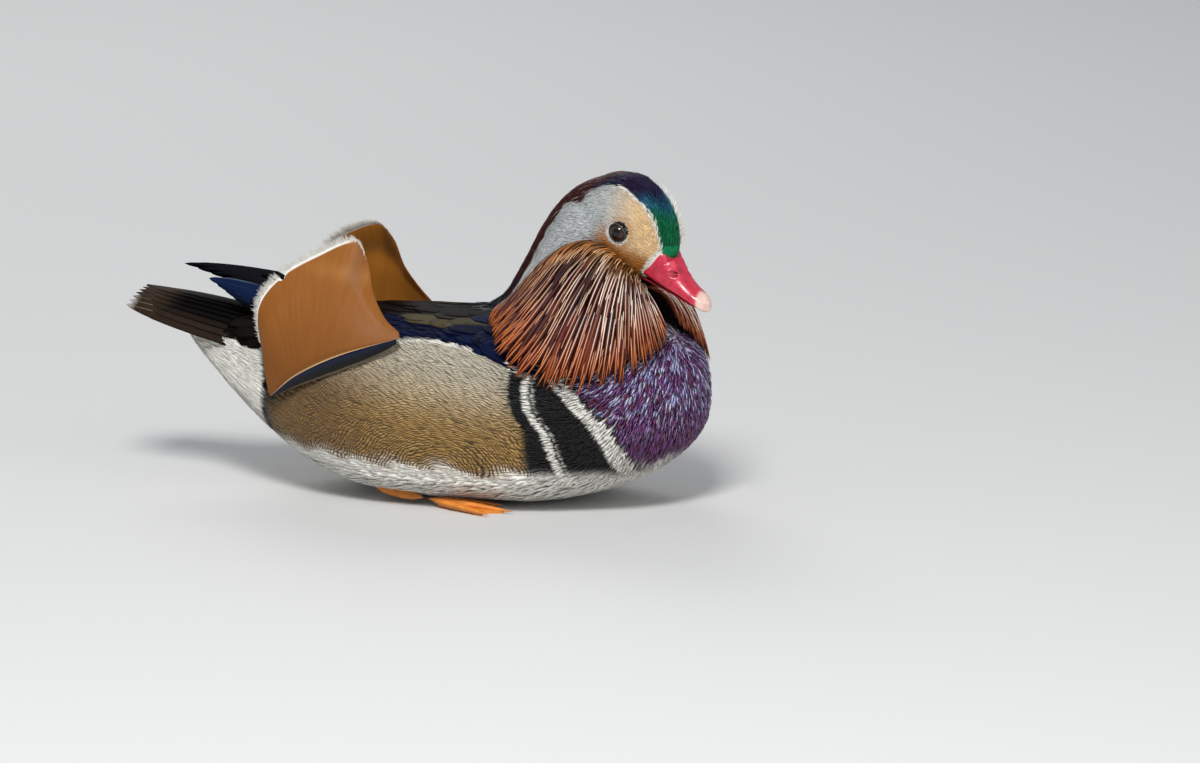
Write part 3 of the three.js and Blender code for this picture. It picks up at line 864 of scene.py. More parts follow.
def lie_face(p, normal):
    """Away from the bill, and past the eye towards the nape and down it."""
    q = to_head(p)
    away = unit(q - np.array([34.0, 0.0, -4.0]))
    sweep = np.array([-1.0, 0.0, -0.15]) + 0 * q
    behind = smooth(12, -14, q[:, 0])
    wanted = mix(away, sweep, behind) @ head_axes().T
    down = smooth(135, 105, p[:, 2]) * 0.9 + 0.35 * behind
    return tangent(wanted - UP * down[:, None], normal)


# Markings


def patchy(p, size, seed):
    """Soft noise from -1 to 1: a few crossed sine waves of about that size in millimetres."""
    rng = np.random.default_rng(seed)
    total = 0
    for _ in range(5):
        way = unit(rng.normal(size=3)) * 2 * np.pi / (size * rng.uniform(0.7, 1.6))
        total = total + np.sin(p @ way + rng.uniform(0, 6.3))
    return total / 2.6


def flank_top(x):
    """Height of the flank's upper edge."""
    return through(FLANK_EDGE, x, 1)


def bar_places(p):
    """Distances in front of the rear white bar, which bows back, and of the slanted front one.

    Both bars run steeper below the level of their bend.
    """
    wave = 0.25 * patchy(p, 5, 5)
    x, _, z = p.T
    low = np.maximum(BAR_BEND - z, 0)
    z = np.maximum(z, BAR_BEND)
    rear = REAR_BAR["at"] + REAR_BAR["bow"] * (z - REAR_BAR["level"]) ** 2 + 0.3 * low
    front = FRONT_BAR["at"] - FRONT_BAR["slant"] * (z - FRONT_BAR["level"]) + 0.45 * low
    return x - rear + wave, (x - front) / np.hypot(1, FRONT_BAR["slant"]) + wave


def breast_colours(p, chance):
    """Purple-maroon with painted glints of blue and white, a painted highlight on top, and white low down.
    """
    x, _, z = p.T
    noise = patchy(p, 14, 3)
    fine, warm = chance[:, 1], chance[:, 2]
    purple = tone("breast") * (0.5 + 0.8 * chance[:, :1])
    purple = mix(purple, "breast_red", smooth(0.78, 0.9, warm) * 0.7)
    # Scattered feathers in the sheen colour: painted glints, on the upper breast only.
    sheen = mix("breast_sheen", "white", chance[:, 3] * 0.5)
    painted_glint = (fine > 0.64 - 0.2 * patchy(p, 16, 9)) * smooth(34, 60, z)
    shown = mix(purple, sheen, painted_glint * 0.85)
    # A painted highlight at the top of the breast, under the throat.
    painted_top_highlight = smooth(84, 94, z + 2 * noise) * smooth(100, 97, z) * smooth(92, 102, x) * (fine > 0.25)
    shown = mix(shown, mix("breast_sheen", "white", 0.8), painted_top_highlight * 0.75)
    return mix(shown, "white", smooth(27 + 3 * noise, 18 + 3 * noise, z - 0.12 * (x - 80)))


def flank_colours(p, chance):
    """Grey-buff above and golden below, with a white edge on top and browner towards the rear."""
    x, _, z = p.T
    noise = patchy(p, 14, 3)
    shown = mix("flank", "flank_top", smooth(40, 84, z + 0.15 * x))
    rear = smooth(-5, -65, x) * smooth(86, 58, z)
    shown = mix(shown, "flank_rear", 0.75 * rear)
    shown = mix(shown, "flank_low", 0.55 * smooth(66, 42, z))
    shown = shown * (0.9 + 0.14 * chance[:, :1])
    shown = mix(shown, "white", smooth(30 + 3 * noise, 21 + 3 * noise, z + 0.05 * x))
    return mix(shown, "white", smooth(1.8, 0.9, flank_top(x) - z) * smooth(-45, -25, x) * 0.65)


def wing_colours(p, chance):
    """Blue-black scapulars with bronze patches, brown-black along the spine and over the tail."""
    x, y = p[:, 0], np.abs(p[:, 1])
    wing = tone("wing") * (0.6 + 0.7 * chance[:, :1])
    patch = np.hypot((x - 2) / 27, (y - 22 - 0.22 * (x - 2)) / 7)
    bronze = smooth(1.15, 0.75, patch + 0.1 * patchy(p, 12, 8))
    wing = mix(wing, tone("bronze") * (0.7 + 0.5 * chance[:, 1:2]), bronze * 0.8)
    plain = np.maximum(smooth(20, 12, y), smooth(-70, -84, x))
    return mix(wing, "back", plain), 0 * x


def body_colours(p, chance):
    """The trunk's colours at points on it, and how metallic the sheen is there."""
    x, y, z = p[:, 0], np.abs(p[:, 1]), p[:, 2]
    noise = patchy(p, 14, 3)
    rear, front = bar_places(p)

    white = smooth(2.3, 1.7, np.abs(rear)) + 0.55 * smooth(0.7, 0.3, np.abs(rear - 3.9))
    prongs = smooth(0.5, 1.1, np.abs(front + 0.3)) + smooth(70, 66, z)
    white = np.maximum(white, smooth(3.6, 3.0, np.abs(front)) * np.minimum(prongs, 1) * smooth(76, 72, z))
    bars = mix("black", "white", np.clip(white, 0, 1))
    bars = mix(bars, "white", smooth(26, 18, z + noise))
    beyond = smooth(BREAST_EDGE, BREAST_EDGE + 0.8, front)
    chest = mix(bars, breast_colours(p, chance), beyond)

    flank = flank_colours(p, chance)
    side = mix(flank, bars, smooth(-9.4, -8.6, rear))
    wing, _ = wing_colours(p, chance)
    top = flank_top(x)
    side = mix(side, wing, smooth(top - 0.2, top + 0.2, z) * smooth(62, 58, x))
    patch = smooth(36, 39, x) * smooth(50, 47, x) * smooth(-1, 0, z - top) * smooth(4.5, 3.5, z - top)
    side = mix(side, mix("white", "shoulder", (chance[:, 1] > 0.6) * 0.6), patch)

    boundary = 78.5 + 0.8 * noise
    rump = mix("white", tone("back") * 0.8, smooth(boundary - 1, boundary + 1, z))
    maroon = smooth(-97.5, -95.5, x + 0.6 * noise)
    rump = mix(rump, "rump", maroon * smooth(16, 26, z))
    shown = mix(side, chest, smooth(48, 52, x))
    shown = mix(shown, rump, smooth(-91, -93, x))
    on_breast = beyond * smooth(24, 34, z) * smooth(50, 60, x)
    return shown, 0.4 * on_breast


def crown_half(t, side):
    """Half width of the dark crown and crest along the middle line, less on the left."""
    left = LEFT_BROW * smooth(0.36, 0.26, t) + LEFT_NAPE * smooth(0.4, 0.55, t) * smooth(0.95, 0.8, t)
    return np.interp(t, steps(len(CROWN_HALF)), CROWN_HALF) - left * (side > 0)


def off_crown(p):
    """Distance outside the dark crown and crest; the chin and the throat are far outside."""
    t, side, _ = on_midline(p)
    q = to_head(p)
    chin = (q[:, 2] < 1) & (q[:, 0] > 0)
    return np.where(chin, 10, np.abs(side) - crown_half(t, side))


def head_colours(p, chance):
    """The head's and the neck's colours at points on them, and how metallic the sheen is there."""
    q = to_head(p)
    ahead, left, high = q.T
    x, _, z = p.T
    t, side, _ = on_midline(p)
    noise = patchy(p, 7, 21)
    over = off_crown(p) - 0.15 * noise
    shade = 0.75 + 0.45 * chance[:, :1]

    edge = np.abs(side) / crown_half(t, side)
    crown = mix("crown_green", "crown_teal", smooth(0.12, 0.22, t - 0.05 * edge))
    crown = mix(crown, "crown_blue", smooth(0.17, 0.27, t - 0.10 * edge ** 2))
    crown = mix(crown, "crown_violet", 0.6 * smooth(0.26, 0.33, t) * smooth(0.42, 0.36, t))
    crown = mix(crown, "crown_maroon", smooth(0.34, 0.44, t - 0.01 * np.abs(side)))
    crown = mix(crown, "nape", smooth(0.80, 0.90, t + 0.02 * noise))
    crown = crown * shade

    cream = smooth(-4, 24, ahead + 0.4 * high)
    gold = smooth(11, -1, high + 0.25 * ahead + 1.2 * noise) * smooth(-10, 2, ahead + noise)
    pale = mix("stripe", "cream", cream)
    face = mix(pale, "gold", gold)
    face = mix(face, "cheek", smooth(1, -9, high + noise) * smooth(-14, -2, ahead) * 0.75)
    front_gold = smooth(15, 21, ahead) * smooth(2, -4, high)
    face = mix(face, tone("gold") * 0.8, front_gold * 0.7)
    apart = off_eye(q)
    ring = smooth(7.4, 6.2, apart + 1.6 * smooth(4, 9, high))
    shadow = smooth(9.5, 7, apart) * smooth(7, 11, ahead + 0.6 * high)
    face = mix(face, "gold", shadow * 0.35)
    face = mix(face, "white", ring * 0.95)
    rim = 0.8 + 1.6 * (side > 0)
    face = mix(face, tone("white") * 1.06, smooth(rim + 0.5, rim, over) * smooth(0.44, 0.38, t))
    bill_line = smooth(2.4, 1.4, off_bill_base(q))
    face = mix(face, "white", bill_line * smooth(12, 8, high))
    face = face * (0.93 + 0.1 * chance[:, :1])

    # Painted shade in the hollow of the throat under the bill and at the front of the upper neck.
    throat = smooth(-13.5, -16.5, high + 0.3 * noise) * smooth(30, 26, ahead) * smooth(-10, 0, ahead)
    throat = np.maximum(throat, smooth(122, 117, z) * smooth(80, 90, x))
    face = mix(face, "throat", throat)
    # Below the ruff's roots: chestnut darkened by painted shade, going over to the wing colour towards the
    # back.
    rooted = ruff_line(x) - 1.7 * np.maximum(x - 96, 0)
    below = smooth(1, 5, rooted - z) * smooth(92, 84, x - 20 * (left > 0))
    behind = mix(tone("chestnut") * 0.4, "wing", smooth(52, 42, x))
    face = mix(face, behind, below)

    colour = mix(crown, face, smooth(-0.2, 0.3, over))
    gloss = smooth(0.2, -0.4, over) * (0.55 - 0.2 * smooth(0.35, 0.5, t))
    return colour, gloss


def ruff_line(x):
    """Height of the line where the white stripe ends and the ruff begins."""
    return through(STRIPE_FOOT, x, 1)


def off_bill_base(q):
    """Distance, in the head's frame, behind the slanted edge where the feathers meet the bill."""
    edge = np.interp(q[:, 2], BILL_BASE[:, 1], BILL_BASE[:, 0])
    return edge - q[:, 0]


def off_eye(q):
    """Distance from the eye's middle in a side view of the head."""
    return np.linalg.norm((q - EYE)[:, [0, 2]], axis=1)


def is_head(p):
    """True above the shoulders: on the head, the crest and the upper neck."""
    return (p[:, 2] > 103) & (p[:, 0] > 5)


def skin_colours(p, chance):
    """The colours under the feathers: the same markings a little darker, as painted shade between them."""
    body, gloss = body_colours(p, chance)
    head, head_gloss = head_colours(p, chance)
    upper = is_head(p)
    return np.where(upper[:, None], head, body) * 0.8, np.where(upper, head_gloss, gloss) * 0.5


# Materials


def new_material(name, roughness=0.6, specular=0.5, coat=0.0, sheen=0.0, subsurface=0.0):
    """A principled material; what is the same all over is set on the shader's own sockets."""
    material = bpy.data.materials.new(name)
    material.use_nodes = True
    shader = material.node_tree.nodes["Principled BSDF"]
    shader.inputs["Roughness"].default_value = roughness
    shader.inputs["Specular IOR Level"].default_value = specular
    shader.inputs["Coat Weight"].default_value = coat
    shader.inputs["Coat Roughness"].default_value = COAT_ROUGHNESS
    shader.inputs["Sheen Weight"].default_value = sheen
    shader.inputs["Subsurface Weight"].default_value = subsurface
    shader.inputs["Subsurface Radius"].default_value = SUBSURFACE_RADIUS
    return material, shader


class Nodes:
    """Short words for adding and joining nodes in one material."""

    def __init__(self, material):
        """Takes the material's node tree."""
        self.tree = material.node_tree

    def add(self, kind, **inputs):
        """A node with some inputs set, or linked where the value is a socket."""
        node = self.tree.nodes.new(kind)
        for name, value in inputs.items():
            self.feed(node.inputs[name.replace("_", " ")], value)
        return node

    def feed(self, socket, value):
        """Links a socket, or sets its value."""
        if isinstance(value, bpy.types.NodeSocket):
            self.tree.links.new(value, socket)
        else:
            socket.default_value = value

    def math(self, operation, *values):
        """One arithmetic node."""
        node = self.tree.nodes.new("ShaderNodeMath")
        node.operation = operation
        for socket, value in zip(node.inputs, values):
            self.feed(socket, value)
        return node.outputs[0]

    def plus(self, a, b):
        """The sum of two values."""
        return self.math("ADD", a, b)

    def times(self, a, b):
        """The product of two values."""
        return self.math("MULTIPLY", a, b)

    def scaled(self, value, scale, start):
        """A value times a scale, added to a start."""
        return self.math("MULTIPLY_ADD", value, scale, start)

    def attribute(self, name, output="Color"):
        """A point attribute of the piece."""
        node = self.tree.nodes.new("ShaderNodeAttribute")
        node.attribute_name = name
        return node.outputs[output]

    def blend(self, kind, share, a, b):
        """Two colours joined by mixing, multiplying or another way."""
        node = self.tree.nodes.new("ShaderNodeMix")
        node.data_type = "RGBA"
        node.blend_type = kind
        self.feed(node.inputs["Factor"], share)
        self.feed(node.inputs[6], a)
        self.feed(node.inputs[7], b)
        return node.outputs[2]

    def vane(self):
        """Distances across from the shaft and along from the root, in millimetres."""
        uv = self.tree.nodes.new("ShaderNodeUVMap")
        uv.uv_map = "Vane"
        apart = self.add("ShaderNodeSeparateXYZ", Vector=uv.outputs["UV"])
        return [self.times(apart.outputs[axis], VANE_UNIT) for axis in ("X", "Y")]

    def place(self):
        """The place in the bird's frame, in metres."""
        return self.add("ShaderNodeTexCoord").outputs["Object"]

    def noise(self, place, scale, **more):
        """Soft noise from 0 to 1."""
        return self.add("ShaderNodeTexNoise", Vector=place, Scale=scale, **more).outputs["Fac"]

    def sine(self, distance, pitch, scale=0.5, middle=0.5):
        """A wave over a distance, one for each pitch."""
        wave = self.math("SINE", self.times(distance, 2 * np.pi / pitch))
        return self.scaled(wave, scale, middle)

    def shaded(self, colour, shade):
        """A colour times a shade of grey."""
        grey = self.add("ShaderNodeCombineXYZ", X=shade, Y=shade, Z=shade)
        return self.blend("MULTIPLY", 1.0, colour, grey.outputs[0])

    def bump(self, height, strength, distance):
        """A bump from a height, in metres of distance."""
        node = self.add("ShaderNodeBump", Height=height, Strength=strength, Distance=distance)
        return node.outputs["Normal"]


def plumage(name, shaft=0.25, pitch=0.45, depth=0.25, bump=0.35, **finish):
    """Feathers: the colour comes from the attribute Col, with a shaft line and fine barbs.

    The barbs are even lines that slant from the shaft, worked out from the map Vane: a sine of
    the distance along plus the distance from the shaft. They shade the colour and the bump.
    """
    material, shader = new_material(name, **finish)
    n = Nodes(material)
    across, along = n.vane()
    off = n.math("ABSOLUTE", across)
    ripple = n.sine(n.plus(along, n.times(off, BARB_SLANT)), pitch)
    shade = n.scaled(ripple, depth, 1 - depth)
    shade = n.times(shade, n.scaled(n.noise(n.place(), 260.0), 0.5, 0.75))
    colour = n.shaded(n.attribute("Col"), shade)
    colour = n.blend("MIX", n.math("LESS_THAN", off, shaft), colour, n.attribute("Shaft"))
    n.feed(shader.inputs["Base Color"], colour)
    n.feed(shader.inputs["Metallic"], n.attribute("Gloss", "Fac"))
    n.feed(shader.inputs["Normal"], n.bump(ripple, bump, 0.0002))
    return material


def painted(name, **finish):
    """A plain material whose colour comes from the attribute Col."""
    material, shader = new_material(name, **finish)
    n = Nodes(material)
    n.feed(shader.inputs["Base Color"], n.attribute("Col"))
    return material


def finish_piece(piece, material, slot, *replaced):
    """Gives a piece its material and lets it ride on the bird; slot is not used."""
    piece.data.materials.append(material)
    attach(piece, "root")
    if replaced:
        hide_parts(*replaced)


# Small feathers


def body_chart(p):
    """A place on the trunk's unwrap: along x, and round by the angle about the trunk's axis."""
    angle = np.arctan2(p[:, 1], p[:, 2] - 50)
    u = (p[:, 0] - TAIL_END) / (BREAST_END - TAIL_END)
    return on_chart(np.column_stack([u, 0.5 + angle / 2 / np.pi]))


def head_chart(p):
    """A place on the head's unwrap: round and up about the middle of the skull."""
    q = to_head(p)
    round_it = np.arctan2(q[:, 1], q[:, 0])
    up = np.arctan2(q[:, 2], np.hypot(q[:, 0], q[:, 1]))
    return on_chart(0.5 + np.column_stack([round_it / 2, up]) / np.pi)


def crest_chart(p):
    """A place on the crest's unwrap: along the middle line and to its side."""
    t, side, _ = on_midline(p)
    return np.column_stack([on_chart(t), np.clip(0.5 + side / 40, MARGIN, 1 - MARGIN)])


def outline(share, blunt):
    """A feather's half width along it, from its narrow root to its tip: blunt 0 is a point."""
    body = np.sin(np.pi * np.clip(share * 0.86 + 0.14, 0, 1) ** 1.15) ** 0.7
    tip = np.sqrt(np.clip(1 - share ** (4 + 8 * blunt), 0.0004, 1))
    return np.maximum(mix(body, np.minimum(1, 0.45 + 2 * share), blunt) * tip, 0.02)


def coat(name, region, spacing, long, half, lift, lie, colours, chart, material, slot, *,
         number, rings=5, columns=3, blunt=0.3, camber=0.25, ragged=0.25, spread=0.12, edge=0.0,
         shade=0.25, crisp=False):
    """A coat piece: feathers scattered over a region of the skin and combed along it.

    long, half and lift are numbers, or functions of the roots, in millimetres. Each feather has
    the colour of the place under its middle, or, if crisp, of each place along it. edge darkens
    its rim, and shade paints shade on its root, where the feathers before it lie over it.
    """
    rng = random(number)
    roots = scatter(shared["skin"].data, spacing * sizes().spacing, region, rng)
    count = len(roots)
    long, half, lift = (
        value(roots) if callable(value) else np.full(count, float(value)) for value in (long, half, lift)
    )
    long = long * (1 + ragged * rng.normal(size=count).clip(-2, 2))
    half = half * (0.8 + 0.4 * rng.random(count))
    lift = lift * (0.75 + 0.5 * rng.random(count))
    turn = rng.normal(size=(count, 1)) * spread

    def heading(p, normal):
        way = lie(p, normal)
        return unit(way + np.cross(normal, way) * turn)

    spine, out = combed(roots, long, heading, rings, lift)
    share = steps(rings)
    widths = outline(share, blunt) * half[:, None]
    piece, feather, along, place = vanes(name, spine, out, widths, widths * camber + 0.05, columns)
    chance = rng.random((count, 4))
    if crisp:
        places = spine.reshape(-1, 3) + np.repeat(rng.normal(size=(count, 3)) * 0.2, rings, 0)
        found = colours(places, np.repeat(chance, rings, 0))
        colour, gloss = (np.repeat(part, columns, 0) for part in found)
    else:
        colour, gloss = (part[feather] for part in colours(spine[:, rings // 2], chance))
    # Painted shade on each feather's root, where the feathers before it lie over it.
    shown = colour * (1 - shade * (1 - along) ** 2)[:, None]
    rim = np.maximum(smooth(0.5, 1.0, np.abs(place)), smooth(0.75, 1.0, along))
    shown = shown * (1 - edge * rim)[:, None]
    paint(piece, Col=shown, Shaft=shown * 0.85, Gloss=gloss)
    lay_vane_maps(piece, feather, along, place, long, half, chart(roots))
    finish_piece(piece, material, slot)
    return piece


class MakeSkin(bpy.types.Operator):
    """Joins trunk, neck, skull and crest into one skin, under the plumage."""

    bl_idname = "duck.skin"
    bl_label = "Skin"

    def execute(self, context):
        body = sizes().body_depth
        head = sizes().head_depth
        shells = trunk_points(body), neck_points(body * 0.7), skull_points(head), crest_points(head)
        skin = closed_grids("skin", *shells)
        remesh = skin.modifiers.new("join", "REMESH")
        remesh.mode = "VOXEL"
        remesh.voxel_size = sizes().skin_cell * MM
        ease = skin.modifiers.new("ease", "SMOOTH")
        ease.iterations = 12
        ease.factor = 0.5
        apply_modifiers(skin)
        skin.data.polygons.foreach_set("use_smooth", np.ones(len(skin.data.polygons), bool))
        shared["skin"] = skin
        shared["ground"] = Ground(skin.data)
        points, _ = read_points(skin.data)
        colour, gloss = skin_colours(points, random(1).random((len(points), 4)))
        paint(skin, Col=colour, Gloss=gloss)
        material = painted("skin", roughness=0.8, specular=0.2)
        sides = [f"{part}_{side}" for part in ("flank", "wing") for side in SIDES]
        middle = ("trunk", "breast", "undertail", "neck", "head", "crest")
        finish_piece(skin, material, "belly", *middle, *sides)
        return {"FINISHED"}


class MakeHeadPlumage(bpy.types.Operator):
    """Very fine feathers on the face, and long sleek ones on the crown and the crest."""

    bl_idname = "duck.head_plumage"
    bl_label = "Head plumage"

    def execute(self, context):
        short = plumage("face_feathers", shaft=0.0, pitch=0.5, depth=0.06,
                        roughness=0.7, specular=0.25, sheen=0.1)
        sleek = plumage("crown_feathers", shaft=0.05, pitch=0.5, depth=0.2, roughness=0.32, specular=0.5)

        def clear(p):
            q = to_head(p)
            across, high = np.abs(q[:, 1]), q[:, 2]
            inside = (off_bill_base(q) < 0.6) & (across < 12) & (high > -17) & (high < 8)
            return ~inside & ~((off_eye(q) < 4.9) & (across > 8))

        def dark(p):
            return off_crown(p) < 0.2

        def face(p, sign):
            _, side, _ = on_midline(p)
            return (p[:, 2] > 101) & (p[:, 0] > 24) & (side * sign > 0) & clear(p) & ~dark(p)

        def crown(p):
            return (p[:, 2] > 99) & (p[:, 0] > 3) & (p[:, 0] < 132) & clear(p) & dark(p)

        def left_brow(p):
            t, side, _ = on_midline(p)
            return (side > 0) * smooth(0.36, 0.28, t) * smooth(2.6, 1.6, off_crown(p))

        def face_lift(p):
            t, _, _ = on_midline(p)
            brow = smooth(2.2, 1.2, off_crown(p)) * smooth(0.45, 0.4, t)
            return 0.45 + 0.35 * brow + 2.3 * left_brow(p)

        def face_length(p):
            return 1.9 + 5.5 * smooth(10, -24, to_head(p)[:, 0]) + 1.6 * left_brow(p)

        def face_half(p):
            return 0.3 + 0.22 * left_brow(p)

        def crown_length(p):
            t, _, _ = on_midline(p)
            return 3.5 + 9 * smooth(0.2, 0.5, t) + 7 * smooth(0.6, 0.8, t) - 11 * smooth(0.8, 0.97, t)

        for side, sign in SIDES.items():
            coat(f"face_coat_{side}", lambda p, s=sign: face(p, s), 0.72, face_length, face_half,
                 face_lift, lie_face, head_colours, head_chart, short, "face", number=10 + sign,
                 rings=4, blunt=0.1, camber=0.1, ragged=0.18, shade=0.08, crisp=True)
        coat("crown_coat", crown, 0.85, crown_length, 0.42, 0.9, lie_crown, head_colours, crest_chart, sleek,
             "crest", number=12, rings=6, blunt=0.1, ragged=0.2, crisp=True)
        return {"FINISHED"}


class MakeBodyPlumage(bpy.types.Operator):
    """Feathers of the breast, flanks, belly, undertail, back and wings."""

    bl_idname = "duck.body_plumage"
    bl_label = "Body plumage"

    def execute(self, context):
        sleek = plumage("breast_feathers", shaft=0.05, pitch=0.6, depth=0.25, roughness=0.26, specular=0.8)
        soft = plumage("white_feathers", shaft=0.0, pitch=0.7, depth=0.06,
                       roughness=0.85, specular=0.2, sheen=0.1)
        dark = plumage("wing_feathers", shaft=0.15, pitch=0.45, depth=0.15, bump=0.2,
                       roughness=0.55, specular=0.03)
        barred = vermiculated("flank_feathers")

        def bars(p):
            x, _, z = p.T
            rear, front = bar_places(p)
            top = np.where(x < 58, flank_top(x) + 4.5 * (x > 36), 90)
            return (rear > -9) & (front < 5) & (x > 30) & (z > 20) & (z < top)

        def breast(p):
            x, _, z = p.T
            _, front = bar_places(p)
            return (front >= BREAST_EDGE) & (x > 50) & (z > 20) & (z < 104)

        def flank(p, sign):
            x, y, z = p.T
            rear, _ = bar_places(p)
            wanted = (x > -94) & (rear <= -8.5) & (x < 70) & (y * sign > 20)
            return wanted & (z < flank_top(x)) & (z > 15)

        def belly(p):
            x, _, z = p.T
            return (z < np.where(x > 50, 22, 17)) & (x > -92)

        def under(p):
            x, _, z = p.T
            return (x <= -90) & (z < 79)

        def back(p):
            x, _, z = p.T
            rear = np.where(z < 84, -62, -90)
            return (z > flank_top(x) + 8) & (x <= 58) & (x > rear) & (z < np.where(x > -12, 98.5, 103))

        def coverts(p):
            x, _, z = p.T
            above = z - flank_top(x)
            low = (above > np.where(x > 36, 4.5, 0.8)) & (above < 11) & (x <= 60) & ((z > 80) | (x > -84))
            nape = (z > 95) & (z < 101) & (x > -16) & (x < 56)
            return np.where(x < -90, (z >= 80.5) & (x > -144), low | nape) & (z < 104)

        coat("bar_coat", bars, 1.2, 5.5, 0.55, 1.5, lie_body, body_colours, body_chart, soft,
             "breast", number=19, rings=5, blunt=0.1, camber=0.15, spread=0.08, crisp=True)
        coat("breast_coat", breast, 1.4, 6, 0.75, 1.7, lie_body, body_colours, body_chart, sleek,
             "breast", number=20, rings=4, blunt=0.2)
        for side, sign in SIDES.items():
            coat(f"flank_coat_{side}", lambda p, s=sign: flank(p, s), 1.35, 12, 1.1, 0.55, lie_flank,
                 body_colours, body_chart, barred, "flank", number=22 + sign, rings=5, blunt=0.1,
                 camber=0.04, spread=0.05, shade=0.1, crisp=True)
        coat("belly_coat", belly, 2.2, 9, 1.4, lambda p: 0.5 + 0.9 * smooth(2, 12, p[:, 2]), lie_body,
             body_colours, body_chart, soft, "belly", number=25, rings=4, blunt=0.2, camber=0.1)
        coat("undertail_coat", under, 1.3, 13, 0.55, 1.0, lie_body, body_colours, body_chart, soft,
             "undertail", number=26, rings=5, blunt=0.1, camber=0.1, shade=0.1, crisp=True)
        coat("back_coat", back, 7, 36, 5.8, 1.4, lie_wing, wing_colours, body_chart, dark, "wing",
             number=27, rings=10, columns=7, blunt=0.7, camber=0.04, ragged=0.1, spread=0.04, edge=0.3)
        coat("covert_coat", coverts, 2.3, 12, 1.7, 0.9, lie_wing, wing_colours, body_chart, dark, "wing",
             number=28, rings=6, columns=5, blunt=0.4, camber=0.06, ragged=0.15, spread=0.06, edge=0.25)
        return {"FINISHED"}


def vermiculated(name):
    """Flank feathers: fine wavy dark lines round a place low on the flank, but none on white.

    A line shows where the sine of a phase is high. The phase grows with the distance from that
    place, stretched along x and bent by noise, and faster far out, where the lines lie closer:
    it is the logarithm that a pitch falling evenly with the distance gives.
    """
    material, shader = new_material(name, roughness=0.55, specular=0.3, sheen=0.1)
    n = Nodes(material)
    place = n.place()
    apart = n.add("ShaderNodeSeparateXYZ", Vector=place)
    x, z = FLANK_MIDDLE
    along = n.scaled(apart.outputs["X"], 1 / MM / FLANK_STRETCH, -x / FLANK_STRETCH)
    above = n.scaled(apart.outputs["Z"], 1 / MM, -z)
    far = n.math("SQRT", n.plus(n.times(along, along), n.times(above, above)))
    far = n.plus(far, n.times(n.noise(place, 70.0, Detail=1.0), FLANK_LINES["bend"]))
    far = n.plus(far, n.times(n.noise(place, 420.0, Detail=0.0), FLANK_LINES["wave"]))
    pitch = n.math("MAXIMUM", n.scaled(far, -PITCH_FALL, PITCH), LEAST_PITCH)
    line = n.math("POWER", n.sine(n.math("LOGARITHM", pitch, np.e), -PITCH_FALL), FLANK_LINES["sharp"])
    strength = n.scaled(apart.outputs["Z"], FLANK_LINES["fade"], FLANK_LINES["dark"])
    across, _ = n.vane()
    strands = n.sine(across, 0.62, 0.07, 0.97)
    shade = n.math("SUBTRACT", 1.15, n.times(line, strength))
    shade = n.times(n.math("MAXIMUM", shade, 0.12), strands)
    green, blue = n.math("POWER", shade, 1.15), n.math("POWER", shade, 1.35)
    tint = n.add("ShaderNodeCombineXYZ", X=shade, Y=green, Z=blue)
    paleness = n.add("ShaderNodeSeparateColor", Color=n.attribute("Col"))
    keep = n.add("ShaderNodeMapRange", Value=paleness.outputs["Blue"])
    keep.inputs["From Min"].default_value = 0.42
    keep.inputs["From Max"].default_value = 0.62
    barred = n.blend("MULTIPLY", 1.0, n.attribute("Col"), tint.outputs[0])
    n.feed(shader.inputs["Base Color"], n.blend("MIX", keep.outputs["Result"], barred, n.attribute("Col")))
    n.feed(shader.inputs["Normal"], n.bump(strands, 0.4, 0.0003))
    return material


# Ruff


def ruff_surface(side, u, v):
    """The ruff's shield: straight lines from the root curve to the tip curve, bowed outwards."""
    root = spline(RUFF[side]["root"], u)
    tip = spline(RUFF[side]["tip"], u)
    bulge = RUFF_BULGE * 4 * v * (1 - v)
    bow = np.stack([0 * v, SIDES[side] * 0.7 * bulge, 0.5 * bulge], -1)
    return root * (1 - v)[..., None] + tip * v[..., None] + bow


def ruff_normal(side, u, v):
    """The way out of the shield, from small steps along it and across it."""
    step = 0.01
    across = ruff_surface(side, np.minimum(u + step, 1), v) - ruff_surface(side, np.maximum(u - step, 0), v)
    down = ruff_surface(side, u, np.minimum(v + step, 1)) - ruff_surface(side, u, np.maximum(v - step, 0))
    return unit(np.cross(across, down)) * -SIDES[side]


def fanned(side, label, v):
    """Place along the shield of the plume line with that label: lines fan out from the cheek.

    A line that starts at u ends at 1 - (1 - u) ** FAN, and nears it with v ** FAN_EASE.
    """
    front = RUFF_FRONT[side]
    start = np.clip((label - front) / (1 - front), 0, 1)
    end = 1 - (1 - start) ** FAN
    return front + (1 - front) * (start + (end - start) * v ** FAN_EASE) + np.minimum(label - front, 0)


